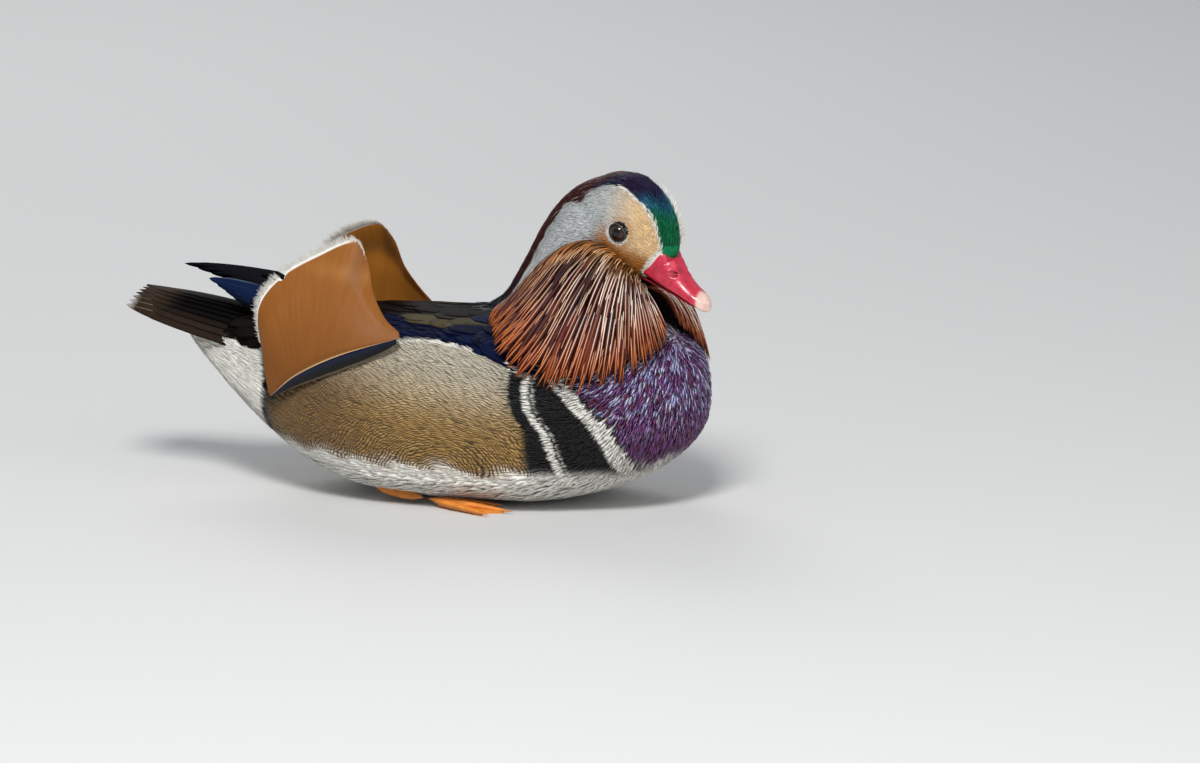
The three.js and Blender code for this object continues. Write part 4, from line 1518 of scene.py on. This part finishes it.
class MakeRuff(bpy.types.Operator):
    """Long pointed plumes that fan out from the cheek and overlap like tiles."""

    bl_idname = "duck.ruff"
    bl_label = "Ruff"

    def execute(self, context):
        material = plumage("ruff_plumes", shaft=0.27, pitch=0.7, depth=0.1, bump=0.1,
                           roughness=0.5, specular=0.25)
        for side in SIDES:
            self.down(side, material)
            for half in ("upper", "lower"):
                self.plumes(side, half, material)
        return {"FINISHED"}

    def down(self, side, material):
        """A dark lining under the plumes, a thin plate inside the shield: chestnut with painted shade."""
        u, v = lattice(np.linspace(0.02, 0.98, 80), np.linspace(0, LINING_END, 24))
        out = ruff_normal(side, u, v)
        under = ruff_surface(side, u, v) - out * LINING_DEPTH
        piece = plate(f"ruff_shade_lining_{side}", under, 0.3, SIDES[side], out)
        u, v = both_faces(u, v)
        # Chestnut darkened by painted shade, most of all near the roots, for the depths between the plumes.
        colour = tone("chestnut") * mix(0.35, 0.6, v)[:, None]
        paint(piece, Col=colour, Shaft=colour, Gloss=0 * u)
        lay_map(piece, "OFBake", np.column_stack([on_chart(u), MARGIN + 0.94 * v]))
        lay_vane(piece, u * 120, v * 60)
        finish_piece(piece, material, "ruff")

    def starts(self, side, half, rng):
        """For each plume the label of its line, its start down the shield and its length."""
        grid = steps(400)
        found = []
        for start, length, count in RUFF_ROWS[half]:
            place = (np.arange(count) + rng.random(count)) / count
            label = np.interp(place, fanned(side, grid, np.full(len(grid), start)), grid)
            found.append(np.column_stack([label, np.full(count, start), np.full(count, length)]))
        label, start, length = np.concatenate(found).T
        return label, np.maximum(start + rng.normal(size=len(label)) * 0.02, 0), length

    def plumes(self, side, half, material):
        """One layer of plumes, each on its line of the fan from its own start down the shield."""
        rng = random(40 + SIDES[side] + 10 * (half == "lower"))
        rings, columns = 11, 5
        label, start, length = self.starts(side, half, rng)
        count = len(label)
        probe = steps(24) + 0 * label[:, None]
        run = run_length(ruff_surface(side, fanned(side, label[:, None], probe), probe))
        length = length * (0.85 + 0.3 * rng.random(count))
        last = 0.9 + 0.13 * rng.random(count) - 0.05 * np.sin(np.pi * np.clip(label * 1.6, 0, 1))
        end = np.minimum(start + length / run, last)
        s = steps(rings)
        v = start[:, None] + (end - start)[:, None] * s
        stray = rng.normal(size=(count, 1)) * 0.012 * s ** 2
        u = np.clip(fanned(side, label[:, None], v) + stray, 0, 1)
        arch = np.sin(np.pi * np.clip(s * 0.85 + 0.05, 0, 1)) ** 0.7
        height = (2.6 - 3.0 * start)[:, None] * arch - 0.9 + rng.normal(size=(count, 1)) * 0.25
        out = ruff_normal(side, u, np.clip(v, 0, 1))
        spine = ruff_surface(side, u, v) + out * height[..., None]
        width = (0.55 + 1.15 * smooth(0.15, 0.85, end))[:, None] * (0.75 + 0.5 * rng.random((count, 1)))
        shape = np.sin(np.pi * np.clip(s * 0.94 + 0.04, 0, 1)) ** 0.6 * (1 - 0.6 * s ** 3)
        widths = np.maximum(width * shape, 0.04)
        name = f"ruff_plumes_{half}_{side}"
        piece, feather, along, across = vanes(name, spine, out, widths, widths * 0.5, columns)
        at, down = np.repeat(u.ravel(), columns), np.repeat(v.ravel(), columns)
        vane, shaft = self.colours(side, rng, feather, at, down, along, across)
        paint(piece, Col=vane, Shaft=shaft, Gloss=0 * down)
        roots = np.column_stack([on_chart(u[:, 0]), MARGIN + 0.94 * v[:, 0]])
        lay_vane_maps(piece, feather, along, across, run_length(spine), widths.max(1), roots)
        finish_piece(piece, material, "ruff", *([f"ruff_{side}"] if half == "upper" else []))

    def colours(self, side, rng, feather, at, down, along, across):
        """The vanes' and the shafts' colours: at along the shield, down it, and on each plume."""
        count = feather[-1] + 1
        dark = mix("chestnut", "plum", (rng.random(count) ** 1.5)[feather])
        cheek = smooth(0.36, 0.1, down + 0.5 * np.maximum(at - 0.3, 0))
        inner = mix(dark, tone("gold") * 0.45, cheek)
        vane = mix(inner, "rust", smooth(0.3, 0.9, along) * (0.25 + 0.6 * smooth(0.35, 0.85, down)))
        vane = vane * (0.4 + 0.8 * rng.random(count))[feather, None]
        # Darker towards each vane's edges: partly the plumes' own colour, partly painted shade in the gaps
        # between them.
        vane = vane * (1 - 0.8 * np.abs(across))[:, None]
        strength = (0.35 + 0.8 * rng.random(count))[feather]
        # On the left, the flap in front is painted lighter, with stronger pale shafts: painted light on
        # plumes that the lamps only graze.
        if side == "left":
            flap = smooth(0.35, 0.15, at)
            vane = mix(vane, tone("rust") * 1.3, flap * 0.5)
            strength = strength + 0.8 * flap
        front = smooth(0.8, 0.35, at) * smooth(0.05, 0.2, down) * smooth(0.95, 0.5, down)
        upper = smooth(0.03, 0.1, down) * smooth(0.6, 0.25, down)
        paler = upper * strength * mix(1.0, 0.45, smooth(0.35, 0.7, at))
        warm = mix("plume_orange", "cream", np.clip(paler, 0, 1))
        shaft = mix(warm, tone("white") * np.array([1, 0.93, 0.84]), np.clip(front * strength, 0, 1))
        shaft = mix(shaft, "gold", cheek * 0.5)
        shaft = shaft * (0.25 + 0.75 * smooth(0.0, 0.7, along))[:, None] * (0.6 + 0.4 * strength)[:, None]
        share = mix(0.5, 0.85, smooth(0.1, 0.6, down)) + 0.3 * smooth(0.5, 0.2, at) * smooth(0.1, 0.3, down)
        seen = smooth(-0.1, 0.1, share - rng.random(count)[feather])
        shaft = mix(vane * 0.9, shaft, seen)
        shade = mix(1.0, 0.7, smooth(0.5, 0.9, at) * smooth(0.9, 0.4, down))[:, None]
        return vane * shade, shaft * shade


# Sails and flight feathers


def sail_surface(side, u, v):
    """The sail's vane: straight lines from its shaft to its edge, bowed outwards in the middle.

    Below the shaft, where v is negative, it runs on downwards as the narrow outer vane.
    """
    root = spline(SAIL_SHAFT[side], u)
    p = root * (1 - v)[..., None] + spline(SAIL_EDGE[side], u) * v[..., None]
    fold = SAIL_FOLD["height"] * np.exp(-((v - SAIL_FOLD["at"]) / SAIL_FOLD["width"]) ** 2)
    p[..., 1] += (SAIL_BULGE * 4 * v * (1 - v) + fold) * np.sin(np.pi * u)
    p[..., 1] *= SIDES[side]
    return p


def sail_colours(u, v, high, inside):
    """The broad vane's colours, by the places along and across it, the height and the face."""
    colour = mix("sail", "sail_inner", inside)
    colour = mix(colour, tone("sail") * 0.62, smooth(0.1, 0.0, v) * 0.5)
    colour = colour * mix(0.8, 1.12, smooth(60, 125, high))[:, None]
    sheen = np.exp(-((high - 120 - 12 * (u - 0.5)) / 3.5) ** 2) * smooth(0.65, 0.5, u)
    colour = mix(colour, tone("sail") * np.array([1.5, 1.9, 3.2]), sheen * 0.5)
    front = smooth(0.30, 0.36, u) * smooth(0.44, 0.40, u) * smooth(0.55, 0.8, v)
    colour = mix(colour, tone("sail") * 0.6, front * 0.5)
    colour = mix(colour, "cream", smooth(0.02, 0.0, v) * 0.7)
    rear = smooth(0.43, 0.48, u) * smooth(0.84, 0.80, u)
    return mix(colour, "white", smooth(0.972, 0.985, v) * rear)


class MakeSails(bpy.types.Operator):
    """The two upright inner wing feathers: a broad satin vane, a dark outer vane, a white fringe."""

    bl_idname = "duck.sails"
    bl_label = "Sails"

    def execute(self, context):
        material = self.satin()
        fringe = plumage("sail_fringe", shaft=0.0, pitch=0.6, depth=0.1, roughness=0.7, specular=0.3)
        dark = plumage("outer_vane", shaft=0.0, pitch=0.5, depth=0.2, roughness=0.3, specular=0.6)
        for side, sign in SIDES.items():
            self.vane(side, sign, material)
            self.outer_vane(side, sign, dark)
            self.fringe(side, sign, fringe)
        return {"FINISHED"}

    def vane(self, side, sign, material):
        """The broad vane as a thin closed plate over a grid of places along and across it."""
        u, v = lattice(steps(120), steps(60))
        notch = np.exp(-((u - NOTCH_AT) / NOTCH_WIDTH) ** 2) * smooth(0.93, 1.0, v) * NOTCH_DEPTH
        inward = unit(sail_surface(side, u, v * 0 + 0.5) - sail_surface(side, u, v * 0 + 1.0))
        p = sail_surface(side, u, v) + inward * notch[..., None]
        piece = plate(f"sail_vane_{side}", p, SAIL_HALF_THICK, sign)
        inside = np.repeat([0.0, 1.0], u.size)
        u, v, high = both_faces(u, v, p[..., 2])
        paint(piece, Col=sail_colours(u, v, high, inside))
        lay_map(piece, "OFBake", np.column_stack([MARGIN + 0.46 * v + 0.5 * inside, on_chart(u)]))
        lay_vane(piece, u * 110, v * 70)
        finish_piece(piece, material, "sail", f"sail_{side}")

    def outer_vane(self, side, sign, material):
        """The narrow dark vane below the shaft: widest near the tip, and led down over the flank."""
        u, w = lattice(np.linspace(0.02, 0.98, 60), steps(8))
        shaft = sail_surface(side, u, 0 * u)
        ground, normal = shared["ground"].foot(shaft - UP * OUTER_VANE)
        foot = ground + normal * 2.4
        reach = (0.06 + 0.94 * np.sin(np.pi * u ** 0.7) ** 0.8)[..., None]
        p = shaft + (foot - shaft) * w[..., None] * reach
        piece = plate(f"sail_outer_{side}", p, 0.25, sign)
        u, w = both_faces(u, w)
        colour = mix(tone("wing") * 1.3, "black", smooth(0.2, 0.6, w))
        colour = mix(colour, tone("cream") * 0.5, smooth(0.95, 1.0, w) * 0.5)
        paint(piece, Col=colour, Shaft=colour, Gloss=0.5 + 0 * w)
        lay_map(piece, "OFBake", on_chart(np.column_stack([w, u])))
        lay_vane(piece, w * 8, u * 110)
        finish_piece(piece, material, "wing")

    def fringe(self, side, sign, material):
        """White hairs along the rear and upper edge, pointing out of the vane and back."""
        rng = random(60 + sign)
        rings = 4
        u = np.sort(FRINGE_FROM + (FRINGE_TO - FRINGE_FROM) * rng.random(FRINGE_HAIRS))
        u = u[np.abs(u - NOTCH_AT) > NOTCH_BARE]
        base = sail_surface(side, u, np.full(len(u), 0.975))
        edge = sail_surface(side, u, np.full(len(u), 1.0))
        back = unit(sail_surface(side, np.minimum(u + 0.02, 1), np.full(len(u), 1.0)) - edge)
        way = unit(unit(edge - base) + 0.7 * back + rng.normal(size=(len(u), 3)) * 0.12)
        share = (u - FRINGE_FROM) / (FRINGE_TO - FRINGE_FROM)
        length = FRINGE * (0.55 + 0.6 * rng.random(len(u))) * (0.35 + 0.65 * np.sin(np.pi * share) ** 0.7)
        s = steps(rings)
        spine = base[:, None] + way[:, None] * (length[:, None] * s)[..., None]
        out = np.repeat(unit(np.cross(way, back) * -sign)[:, None], rings, 1)
        widths = 0.19 * (1 - 0.8 * s) * np.ones((len(u), 1))
        piece, feather, along, place = vanes(f"sail_fringe_{side}", spine, out, widths, widths * 0.6)
        colour = tone("white") * (0.85 + 0.15 * rng.random(len(u)))[feather, None]
        paint(piece, Col=colour, Shaft=colour, Gloss=0 * along)
        roots = np.column_stack([u, 0 * u + 0.9])
        lay_vane_maps(piece, feather, along, place, length, widths.max(1), roots)
        finish_piece(piece, material, "sail")

    def satin(self):
        """Satin vane: fine barbs run from the shaft to the edge, with soft bands between them."""
        material, shader = new_material("sail_vane", roughness=0.5, specular=0.2, sheen=0.02)
        n = Nodes(material)
        run, out = n.vane()
        ripple = n.sine(n.plus(run, n.times(n.noise(n.place(), 90.0), 1.5)), 0.5)
        run, out = n.times(run, 0.6), n.times(out, 0.03)
        streak = n.noise(n.add("ShaderNodeCombineXYZ", X=run, Y=out).outputs[0], 1.0, Detail=3.0)
        shade = n.scaled(ripple, 0.16, 0.7)
        shade = n.plus(shade, n.times(streak, 0.4))
        n.feed(shader.inputs["Base Color"], n.shaded(n.attribute("Col"), shade))
        n.feed(shader.inputs["Normal"], n.bump(ripple, 0.25, 0.0001))
        return material


def flight_feathers(name, roots, tips, ups, half, pointed, material, slot, number, gloss, colour, replaced):
    """Long closed vanes from roots to tips, bowed a little upwards, with a raised shaft.

    pointed is 0 for a round tip and 1 for a tapered one. colour gives the vane's and the shaft's
    colours from the feather's number, the share along it and the place across it.
    """
    rng = random(number)
    rings, columns = 30, 9
    s = steps(rings)
    line = tips - roots
    up = unit(ups - unit(line) * np.sum(ups * unit(line), 1, keepdims=True))
    bow = (1.2 * np.sin(np.pi * s))[:, None]
    spine = roots[:, None] + line[:, None] * s[:, None] + up[:, None] * bow
    tip = mix(np.sqrt(np.clip(1 - s ** 9, 0.0006, 1)), np.clip(1 - s ** 3.5, 0.02, 1), pointed)
    ragged = 1 + 0.06 * rng.normal(size=(len(roots), rings)) * smooth(0.7, 0.95, s)
    widths = half * (np.minimum(1, 0.5 + 2.5 * s) * tip) * ragged
    out = np.repeat(up[:, None], rings, 1)
    piece, feather, along, place = vanes(name, spine, out, widths, 0.25 + 0.07 * widths, columns)
    vane, shaft = colour(feather, along, place)
    vane = vane * (0.85 + 0.3 * rng.random(len(roots)))[feather, None]
    paint(piece, Col=vane, Shaft=shaft, Gloss=gloss + 0 * along)
    across = (feather + 0.5 + 0.45 * place) / len(roots)
    lay_map(piece, "OFBake", on_chart(np.column_stack([across, along])))
    lay_vane(piece, place * half, along * np.linalg.norm(line, axis=1)[feather])
    finish_piece(piece, material, slot, replaced)


class MakeFlightFeathers(bpy.types.Operator):
    """The closed fan of the tail and the folded primaries behind the sails."""

    bl_idname = "duck.flight_feathers"
    bl_label = "Flight feathers"

    def execute(self, context):
        material = plumage("flight_feathers", shaft=0.3, pitch=0.5, depth=0.3, roughness=0.55, specular=0.04)
        self.tail(material)
        for side, sign in SIDES.items():
            self.primaries(side, sign, material)
        return {"FINISHED"}

    def tail(self, material):
        """Fourteen feathers: the outer ones start lower, lean outwards and end a little sooner."""
        share = np.linspace(-1, 1, TAIL_COUNT)
        share = share[np.argsort(-np.abs(share), kind="stable")]
        stack = 1.6 * (1 - np.abs(share))
        roots = np.column_stack([-98 + 0 * share, 17 * share, 86 - 12 * share ** 2 + stack])
        tips = np.column_stack([-169 - 7 * np.abs(share), 16 * share, 98.5 - 6 * share ** 2 + stack])
        ups = np.column_stack([0.14 + 0 * share, 0.9 * share, 1 + 0 * share])

        def colour(feather, along, place):
            outer = smooth(0.5, 0.9, np.abs(share[feather]))
            brown = tone("tail_brown")
            tip = smooth(0.62, 0.8, along + 0.06 * place)
            vane = mix(tone("tail") * 0.5, brown, np.maximum(tip, outer * 0.8))
            vane = mix(vane, brown * 2.0, outer * smooth(0.7, 1.0, np.abs(place)) * 0.4)
            vane = mix(vane, tone("white") * 0.7, outer * smooth(0.93, 1.0, along))
            return vane, mix(vane * 1.3, "tail_shaft", outer * 0.6)

        flight_feathers("tail_feathers", roots, tips, ups, TAIL_HALF, 0.8, material, "tail", 50, 0.0,
                        colour, "tail")

    def primaries(self, side, sign, material):
        """Five folded feathers: black-brown on top and steel blue below, with pale lower edges."""
        root, tip = (np.array(p, float) for p in PRIMARY_ENDS[side])
        k = np.arange(PRIMARY_COUNT)[:, None]
        sink = np.array([0, sign * 0.9, -1.7]) * k
        tips = tip + (root - tip) * 0.10 * k + sink
        up = np.tile([0.05, sign * 0.85, 0.45], (PRIMARY_COUNT, 1))

        def colour(feather, along, place):
            near = side == "right"
            blue = smooth(0.5, 2.5, feather) if near else 0.1 + 0 * along
            vane = mix(tone("tail") * 0.5, "primary", blue)
            lower = smooth(0.86, 1.0, -place * sign) * smooth(0.3, 0.7, along)
            vane = mix(vane, "primary_edge", lower * smooth(2.5, 3.5, feather) * 0.5 * near)
            return vane, vane * 1.5

        flight_feathers(f"primaries_{side}", (root + sink)[::-1], tips[::-1], up, PRIMARY_HALF, 0.7,
                        material, "primary", 51 + sign, 0.05, colour, f"wingtip_{side}")


# Bill, eyes and feet


def mandible_points(stations, widest, rows=90, columns=72):
    """Half of the bill: squared ellipses along x in the head's frame, rounding off at the tip.

    widest is the share of the height, from below, at which each section is widest.
    """
    start, end = stations[0, 0], stations[-1, 0]
    u, angle = lattice(steps(rows), circle(columns))
    x = start + (end - start) * (1 - np.cos(np.pi * u)) / 2
    share = (x - BILL_TURN) / (end - BILL_TURN)
    closing = rounding(share, 2) * rounding((start + 4 - x) / 4, 2)
    top, bottom = through(stations, x, 2), through(stations, x, 3)
    middle = bottom + (top - bottom) * (widest + 0.2 * np.clip(share, 0, 1))
    reach = np.where(np.sin(angle) > 0, top - middle, middle - bottom) * closing
    y = through(stations, x, 1) * closing * power(np.cos(angle), 2 / BILL_SQUARENESS)
    return np.stack([x, y, middle + reach * power(np.sin(angle), 2 / BILL_SQUARENESS)], -1)


class MakeBill(bpy.types.Operator):
    """The two halves of the bill, with nostrils, pits and the pale nail."""

    bl_idname = "duck.bill"
    bl_label = "Bill"

    def execute(self, context):
        horn = self.horn()
        points = mandible_points(UPPER_BILL, 0.2, 130, 110)
        nostril_shade = np.zeros(points.shape[:2])
        for sign in (-1, 1):
            far = np.linalg.norm((points - NOSTRIL * [1, sign, 1]) / NOSTRIL_SIZE, axis=-1)
            points[..., 1] -= sign * (2.6 * np.exp(-far ** 2 * 2) - 0.5 * np.exp(-(far - 1.25) ** 2 * 10))
            nostril_shade = np.maximum(nostril_shade, np.exp(-far ** 2 * 2.5))
        along, across, high = points[..., 0], np.abs(points[..., 1]), points[..., 2]
        points[..., 2] -= 0.8 * np.exp(-((along - 40) / 7) ** 2) * smooth(4, 0, across) * (high > -4)
        points[..., 2] -= 4.0 * smooth(35.5, 33, along) * smooth(9, 3, across) * (high > 0)
        nail = smooth(54.0, 56.6, along + 0.25 * high + 2.8 - 0.3 * across)
        points[..., 2] += 0.4 * nail * (high > -11)
        upper = closed_grids("bill_upper_horn", from_head(points))
        nail, high, along = nail.ravel(), high.ravel(), along.ravel()
        dull = patchy(points.reshape(-1, 3), 6, 31)
        colour = mix("bill", tone("bill") * np.array([0.72, 0.5, 0.6]), smooth(-0.2, 1.0, dull) * 0.6)
        colour = mix(colour, tone("bill") * np.array([1.1, 1.6, 1.5]), smooth(0.2, 1.0, -dull) * 0.35)
        colour = mix(colour, "nail", nail)
        # Painted shade in the nostrils.
        colour = mix(colour, tone("bill") * 0.12, nostril_shade.ravel())
        # Painted shade along the lower edge of the upper bill, over the gap to the lower one.
        colour = mix(colour, tone("bill") * 0.4, smooth(-12.2, -12.7, high) * (1 - nail) * 0.7)
        paint(upper, Col=colour)
        finish_piece(upper, horn, "bill", "bill_upper", "bill_nail")
        lower = closed_grids("bill_lower_horn", from_head(mandible_points(LOWER_BILL, 0.6)))
        points, _ = read_points(lower.data)
        high = to_head(points)[:, 2]
        # The lower bill is painted darker, and nearly black along its top, as shade under the upper bill.
        paint(lower, Col=mix(tone("bill") * 0.8, tone("bill") * 0.15, smooth(-13.1, -12.7, high)))
        finish_piece(lower, horn, "bill", "bill_lower")
        return {"FINISHED"}

    def horn(self):
        """Glossy horn with soft blotches and shallow pits."""
        material, shader = new_material("bill_horn", roughness=0.32, coat=0.35, subsurface=0.05)
        n = Nodes(material)
        place = n.place()
        soft = n.noise(place, 320.0, Detail=5.0, Roughness=0.6)
        pits = n.add("ShaderNodeTexVoronoi", Vector=place, Scale=620.0)
        dent = n.math("MINIMUM", pits.outputs["Distance"], 0.4)
        shade = n.scaled(soft, 0.9, 0.5)
        n.feed(shader.inputs["Base Color"], n.shaded(n.attribute("Col"), shade))
        height = n.plus(dent, n.times(soft, 1.2))
        n.feed(shader.inputs["Normal"], n.bump(height, 0.45, 0.0006))
        return material


class MakeEyes(bpy.types.Operator):
    """Each eye: a wet ball with a brown iris and a black pupil, and a ring of lids round it."""

    bl_idname = "duck.eyes"
    bl_label = "Eyes"

    def execute(self, context):
        wet = painted("eye_wet", roughness=0.06, specular=0.35, coat=0.25)
        lid = painted("eyelid", roughness=0.5, specular=0.3)
        for side, sign in SIDES.items():
            self.ball(side, sign, wet)
            self.lids(side, sign, lid)
        return {"FINISHED"}

    def ball(self, side, sign, material):
        """A ball whose poles lie left and right, coloured by the angle from the way it looks."""
        rows, columns = 60, 64
        u, angle = lattice(np.linspace(0, np.pi, rows), circle(columns))
        ball = np.stack([np.sin(u) * np.cos(angle), -np.cos(u) * sign, np.sin(u) * np.sin(angle) * sign], -1)
        looks = unit(np.array([0.14, sign * 0.98, 0.06]))
        off = np.degrees(np.arccos(np.clip(ball @ looks, -1, 1))).ravel()
        cornea = 1 + 0.05 * smooth(34, 12, off)
        points = ball * EYE_RADIUS * cornea.reshape(rows, columns, 1) + EYE * [1, sign, 1]
        piece = closed_grids(f"eyeball_{side}", from_head(points))
        streak = 0.8 + 0.4 * np.sin(angle.ravel() * 17) ** 2
        colour = mix(tone("black") * 0.25, tone("iris") * streak[:, None], smooth(19, 21, off))
        colour = mix(colour, tone("black") * 0.5, smooth(34, 39, off))
        paint(piece, Col=colour)
        finish_piece(piece, material, "eye", f"eye_{side}")

    def lids(self, side, sign, material):
        """A dark rim carried on the rounded outline where the ball leaves the skin.

        The outline is a circle drawn out a little to the front and back corners, and flatter above.
        """
        rows, columns = 96, 14
        angle, roll = circle(rows), circle(columns)
        long = LID["long"] + LID["corner"] * np.abs(np.cos(angle)) ** 6
        high = np.where(np.sin(angle) > 0, LID["above"], LID["below"])
        middle = np.stack([long * np.cos(angle), 0 * angle, high * np.sin(angle)], -1)
        deep = np.sqrt(EYE_RADIUS ** 2 - np.minimum(middle[:, 0] ** 2 + middle[:, 2] ** 2, 30))
        middle[:, 1] = sign * (deep + 0.1)
        away = unit(middle * [1, 0, 1])
        thick = 0.5 + 0.12 * smooth(0.2, 0.9, np.sin(angle))
        spoke = away[:, None] * np.cos(roll)[:, None] + np.array([0.0, sign, 0.0]) * np.sin(roll)[:, None]
        ring = middle[:, None] + thick[:, None, None] * spoke
        points = from_head(ring + EYE * [1, sign, 1]).reshape(-1, 3)
        quads = grid_faces(rows + 1, columns) % (rows * columns)
        piece = mesh_piece(f"eyelids_{side}", points, quads if sign > 0 else quads[:, ::-1])
        # Painted light and shade round the rim: dark on the side that tucks against the eye, paler on the
        # side that turns out to the feathers.
        outer = np.tile(np.cos(roll), rows)
        paint(piece, Col=mix("lid_dark", "lid_pale", smooth(0.5, 1.0, outer)))
        finish_piece(piece, material, "face")


class MakeFeet(bpy.types.Operator):
    """The webbed feet and the shanks, laid flat beside the belly."""

    bl_idname = "duck.feet"
    bl_label = "Feet"

    def execute(self, context):
        material, shader = new_material("foot_skin", roughness=0.5, coat=0.1)
        n = Nodes(material)
        place = n.place()
        scales = n.add("ShaderNodeTexVoronoi", Vector=place, Scale=900.0)
        shade = n.scaled(n.noise(place, 120.0), 0.8, 0.55)
        n.feed(shader.inputs["Base Color"], n.shaded((*tone("foot"), 1.0), shade))
        n.feed(shader.inputs["Normal"], n.bump(scales.outputs["Distance"], 0.6, 0.0004))
        for side in SIDES:
            for part in ("foot", "leg"):
                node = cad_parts[f"{part}_{side}"]
                node.data.materials.clear()
                node.data.materials.append(material)
        return {"FINISHED"}


# Stage


class MakeStage(bpy.types.Operator):
    """The floor, the lights and the camera at the bird's right, a little in front of it."""

    bl_idname = "duck.stage"
    bl_label = "Stage"

    def execute(self, context):
        self.floor()
        for name, (place, size, watts) in LAMPS.items():
            self.light(name, place, size, watts)
        world = bpy.data.worlds.new("studio")
        world.use_nodes = True
        background = world.node_tree.nodes["Background"]
        background.inputs["Color"].default_value = SKY["colour"]
        background.inputs["Strength"].default_value = SKY["strength"]
        context.scene.world = world
        context.scene.view_settings.view_transform = "Standard"
        self.camera(context)
        return {"FINISHED"}

    def floor(self):
        """A wide pale sheet that lies on the floor."""
        span = np.linspace(-FLOOR["half"], FLOOR["half"], 3)
        x, y = lattice(span, span)
        points = np.stack([x, y, 0 * x - FLOOR["drop"]], -1)
        floor = mesh_piece("floor", points, grid_faces(3, 3, wrap=False)[:, ::-1])
        material, shader = new_material("floor", roughness=0.8)
        shader.inputs["Base Color"].default_value = FLOOR["colour"]
        floor.data.materials.append(material)

    def light(self, name, place, size, watts):
        """A soft square lamp that faces the bird."""
        lamp = bpy.data.lights.new(name, "AREA")
        lamp.size = size
        lamp.energy = watts
        holder = bpy.data.objects.new(name, lamp)
        holder.location = place
        holder.rotation_euler = (Vector(LAMPS_FACE) - Vector(place)).to_track_quat("-Z", "Y").to_euler()
        bpy.context.scene.collection.objects.link(holder)

    def camera(self, context):
        """A long lens whose middle looks at the point that the picture's middle shows."""
        lens = bpy.data.cameras.new("camera")
        lens.sensor_width = SENSOR
        lens.lens = SENSOR * CAMERA_FAR / (PIXEL * IMAGE[0])
        lens.clip_end = 50
        camera = bpy.data.objects.new("camera", lens)
        right = np.array([np.cos(CAMERA_TURN), np.sin(CAMERA_TURN), 0])
        level = np.array([np.sin(CAMERA_TURN), -np.cos(CAMERA_TURN), 0])
        back = level * np.cos(CAMERA_RISE) + UP * np.sin(CAMERA_RISE)
        up = np.cross(back, right)
        shift = (np.array(IMAGE) / 2 - ORIGIN_AT) * PIXEL
        target = right * shift[0] - up * shift[1]
        place = (target + back * CAMERA_FAR) * MM
        rows = np.column_stack([right, up, back])
        camera.matrix_world = Matrix.Translation(Vector(place)) @ Matrix(rows.tolist()).to_4x4()
        context.scene.collection.objects.link(camera)
        context.scene.camera = camera


class DuckPanel(bpy.types.Panel):
    """Lists the pieces of the bird."""

    bl_idname = "VIEW3D_PT_duck"
    bl_label = "Mandarin drake"
    bl_space_type = "VIEW_3D"
    bl_region_type = "UI"
    bl_category = "Mandarin drake"

    def draw(self, context):
        for maker in MAKERS:
            self.layout.operator(maker.bl_idname)
        for group in (context.scene.duck_sizes, context.scene.duck_colours):
            for name in group.bl_rna.properties.keys():
                if name not in ("rna_type", "name"):
                    self.layout.prop(group, name)


MAKERS = (
    MakeStage, MakeSkin, MakeHeadPlumage, MakeBodyPlumage, MakeRuff, MakeSails, MakeFlightFeathers, MakeBill,
    MakeEyes, MakeFeet,
)
CLASSES = (DuckSizes, DuckColours, *MAKERS, DuckPanel)


def register():
    """Registers the classes and puts the settings on the scene."""
    for cls in CLASSES:
        bpy.utils.register_class(cls)
    bpy.types.Scene.duck_sizes = bpy.props.PointerProperty(type=DuckSizes)
    bpy.types.Scene.duck_colours = bpy.props.PointerProperty(type=DuckColours)


def unregister():
    """Takes the settings and the classes away again."""
    del bpy.types.Scene.duck_colours
    del bpy.types.Scene.duck_sizes
    for cls in reversed(CLASSES):
        bpy.utils.unregister_class(cls)


def main():
    """Builds every piece in order."""
    register()
    for maker in MAKERS:
        group, name = maker.bl_idname.split(".")
        getattr(getattr(bpy.ops, group), name)()


if __name__ == "__main__":
    main()
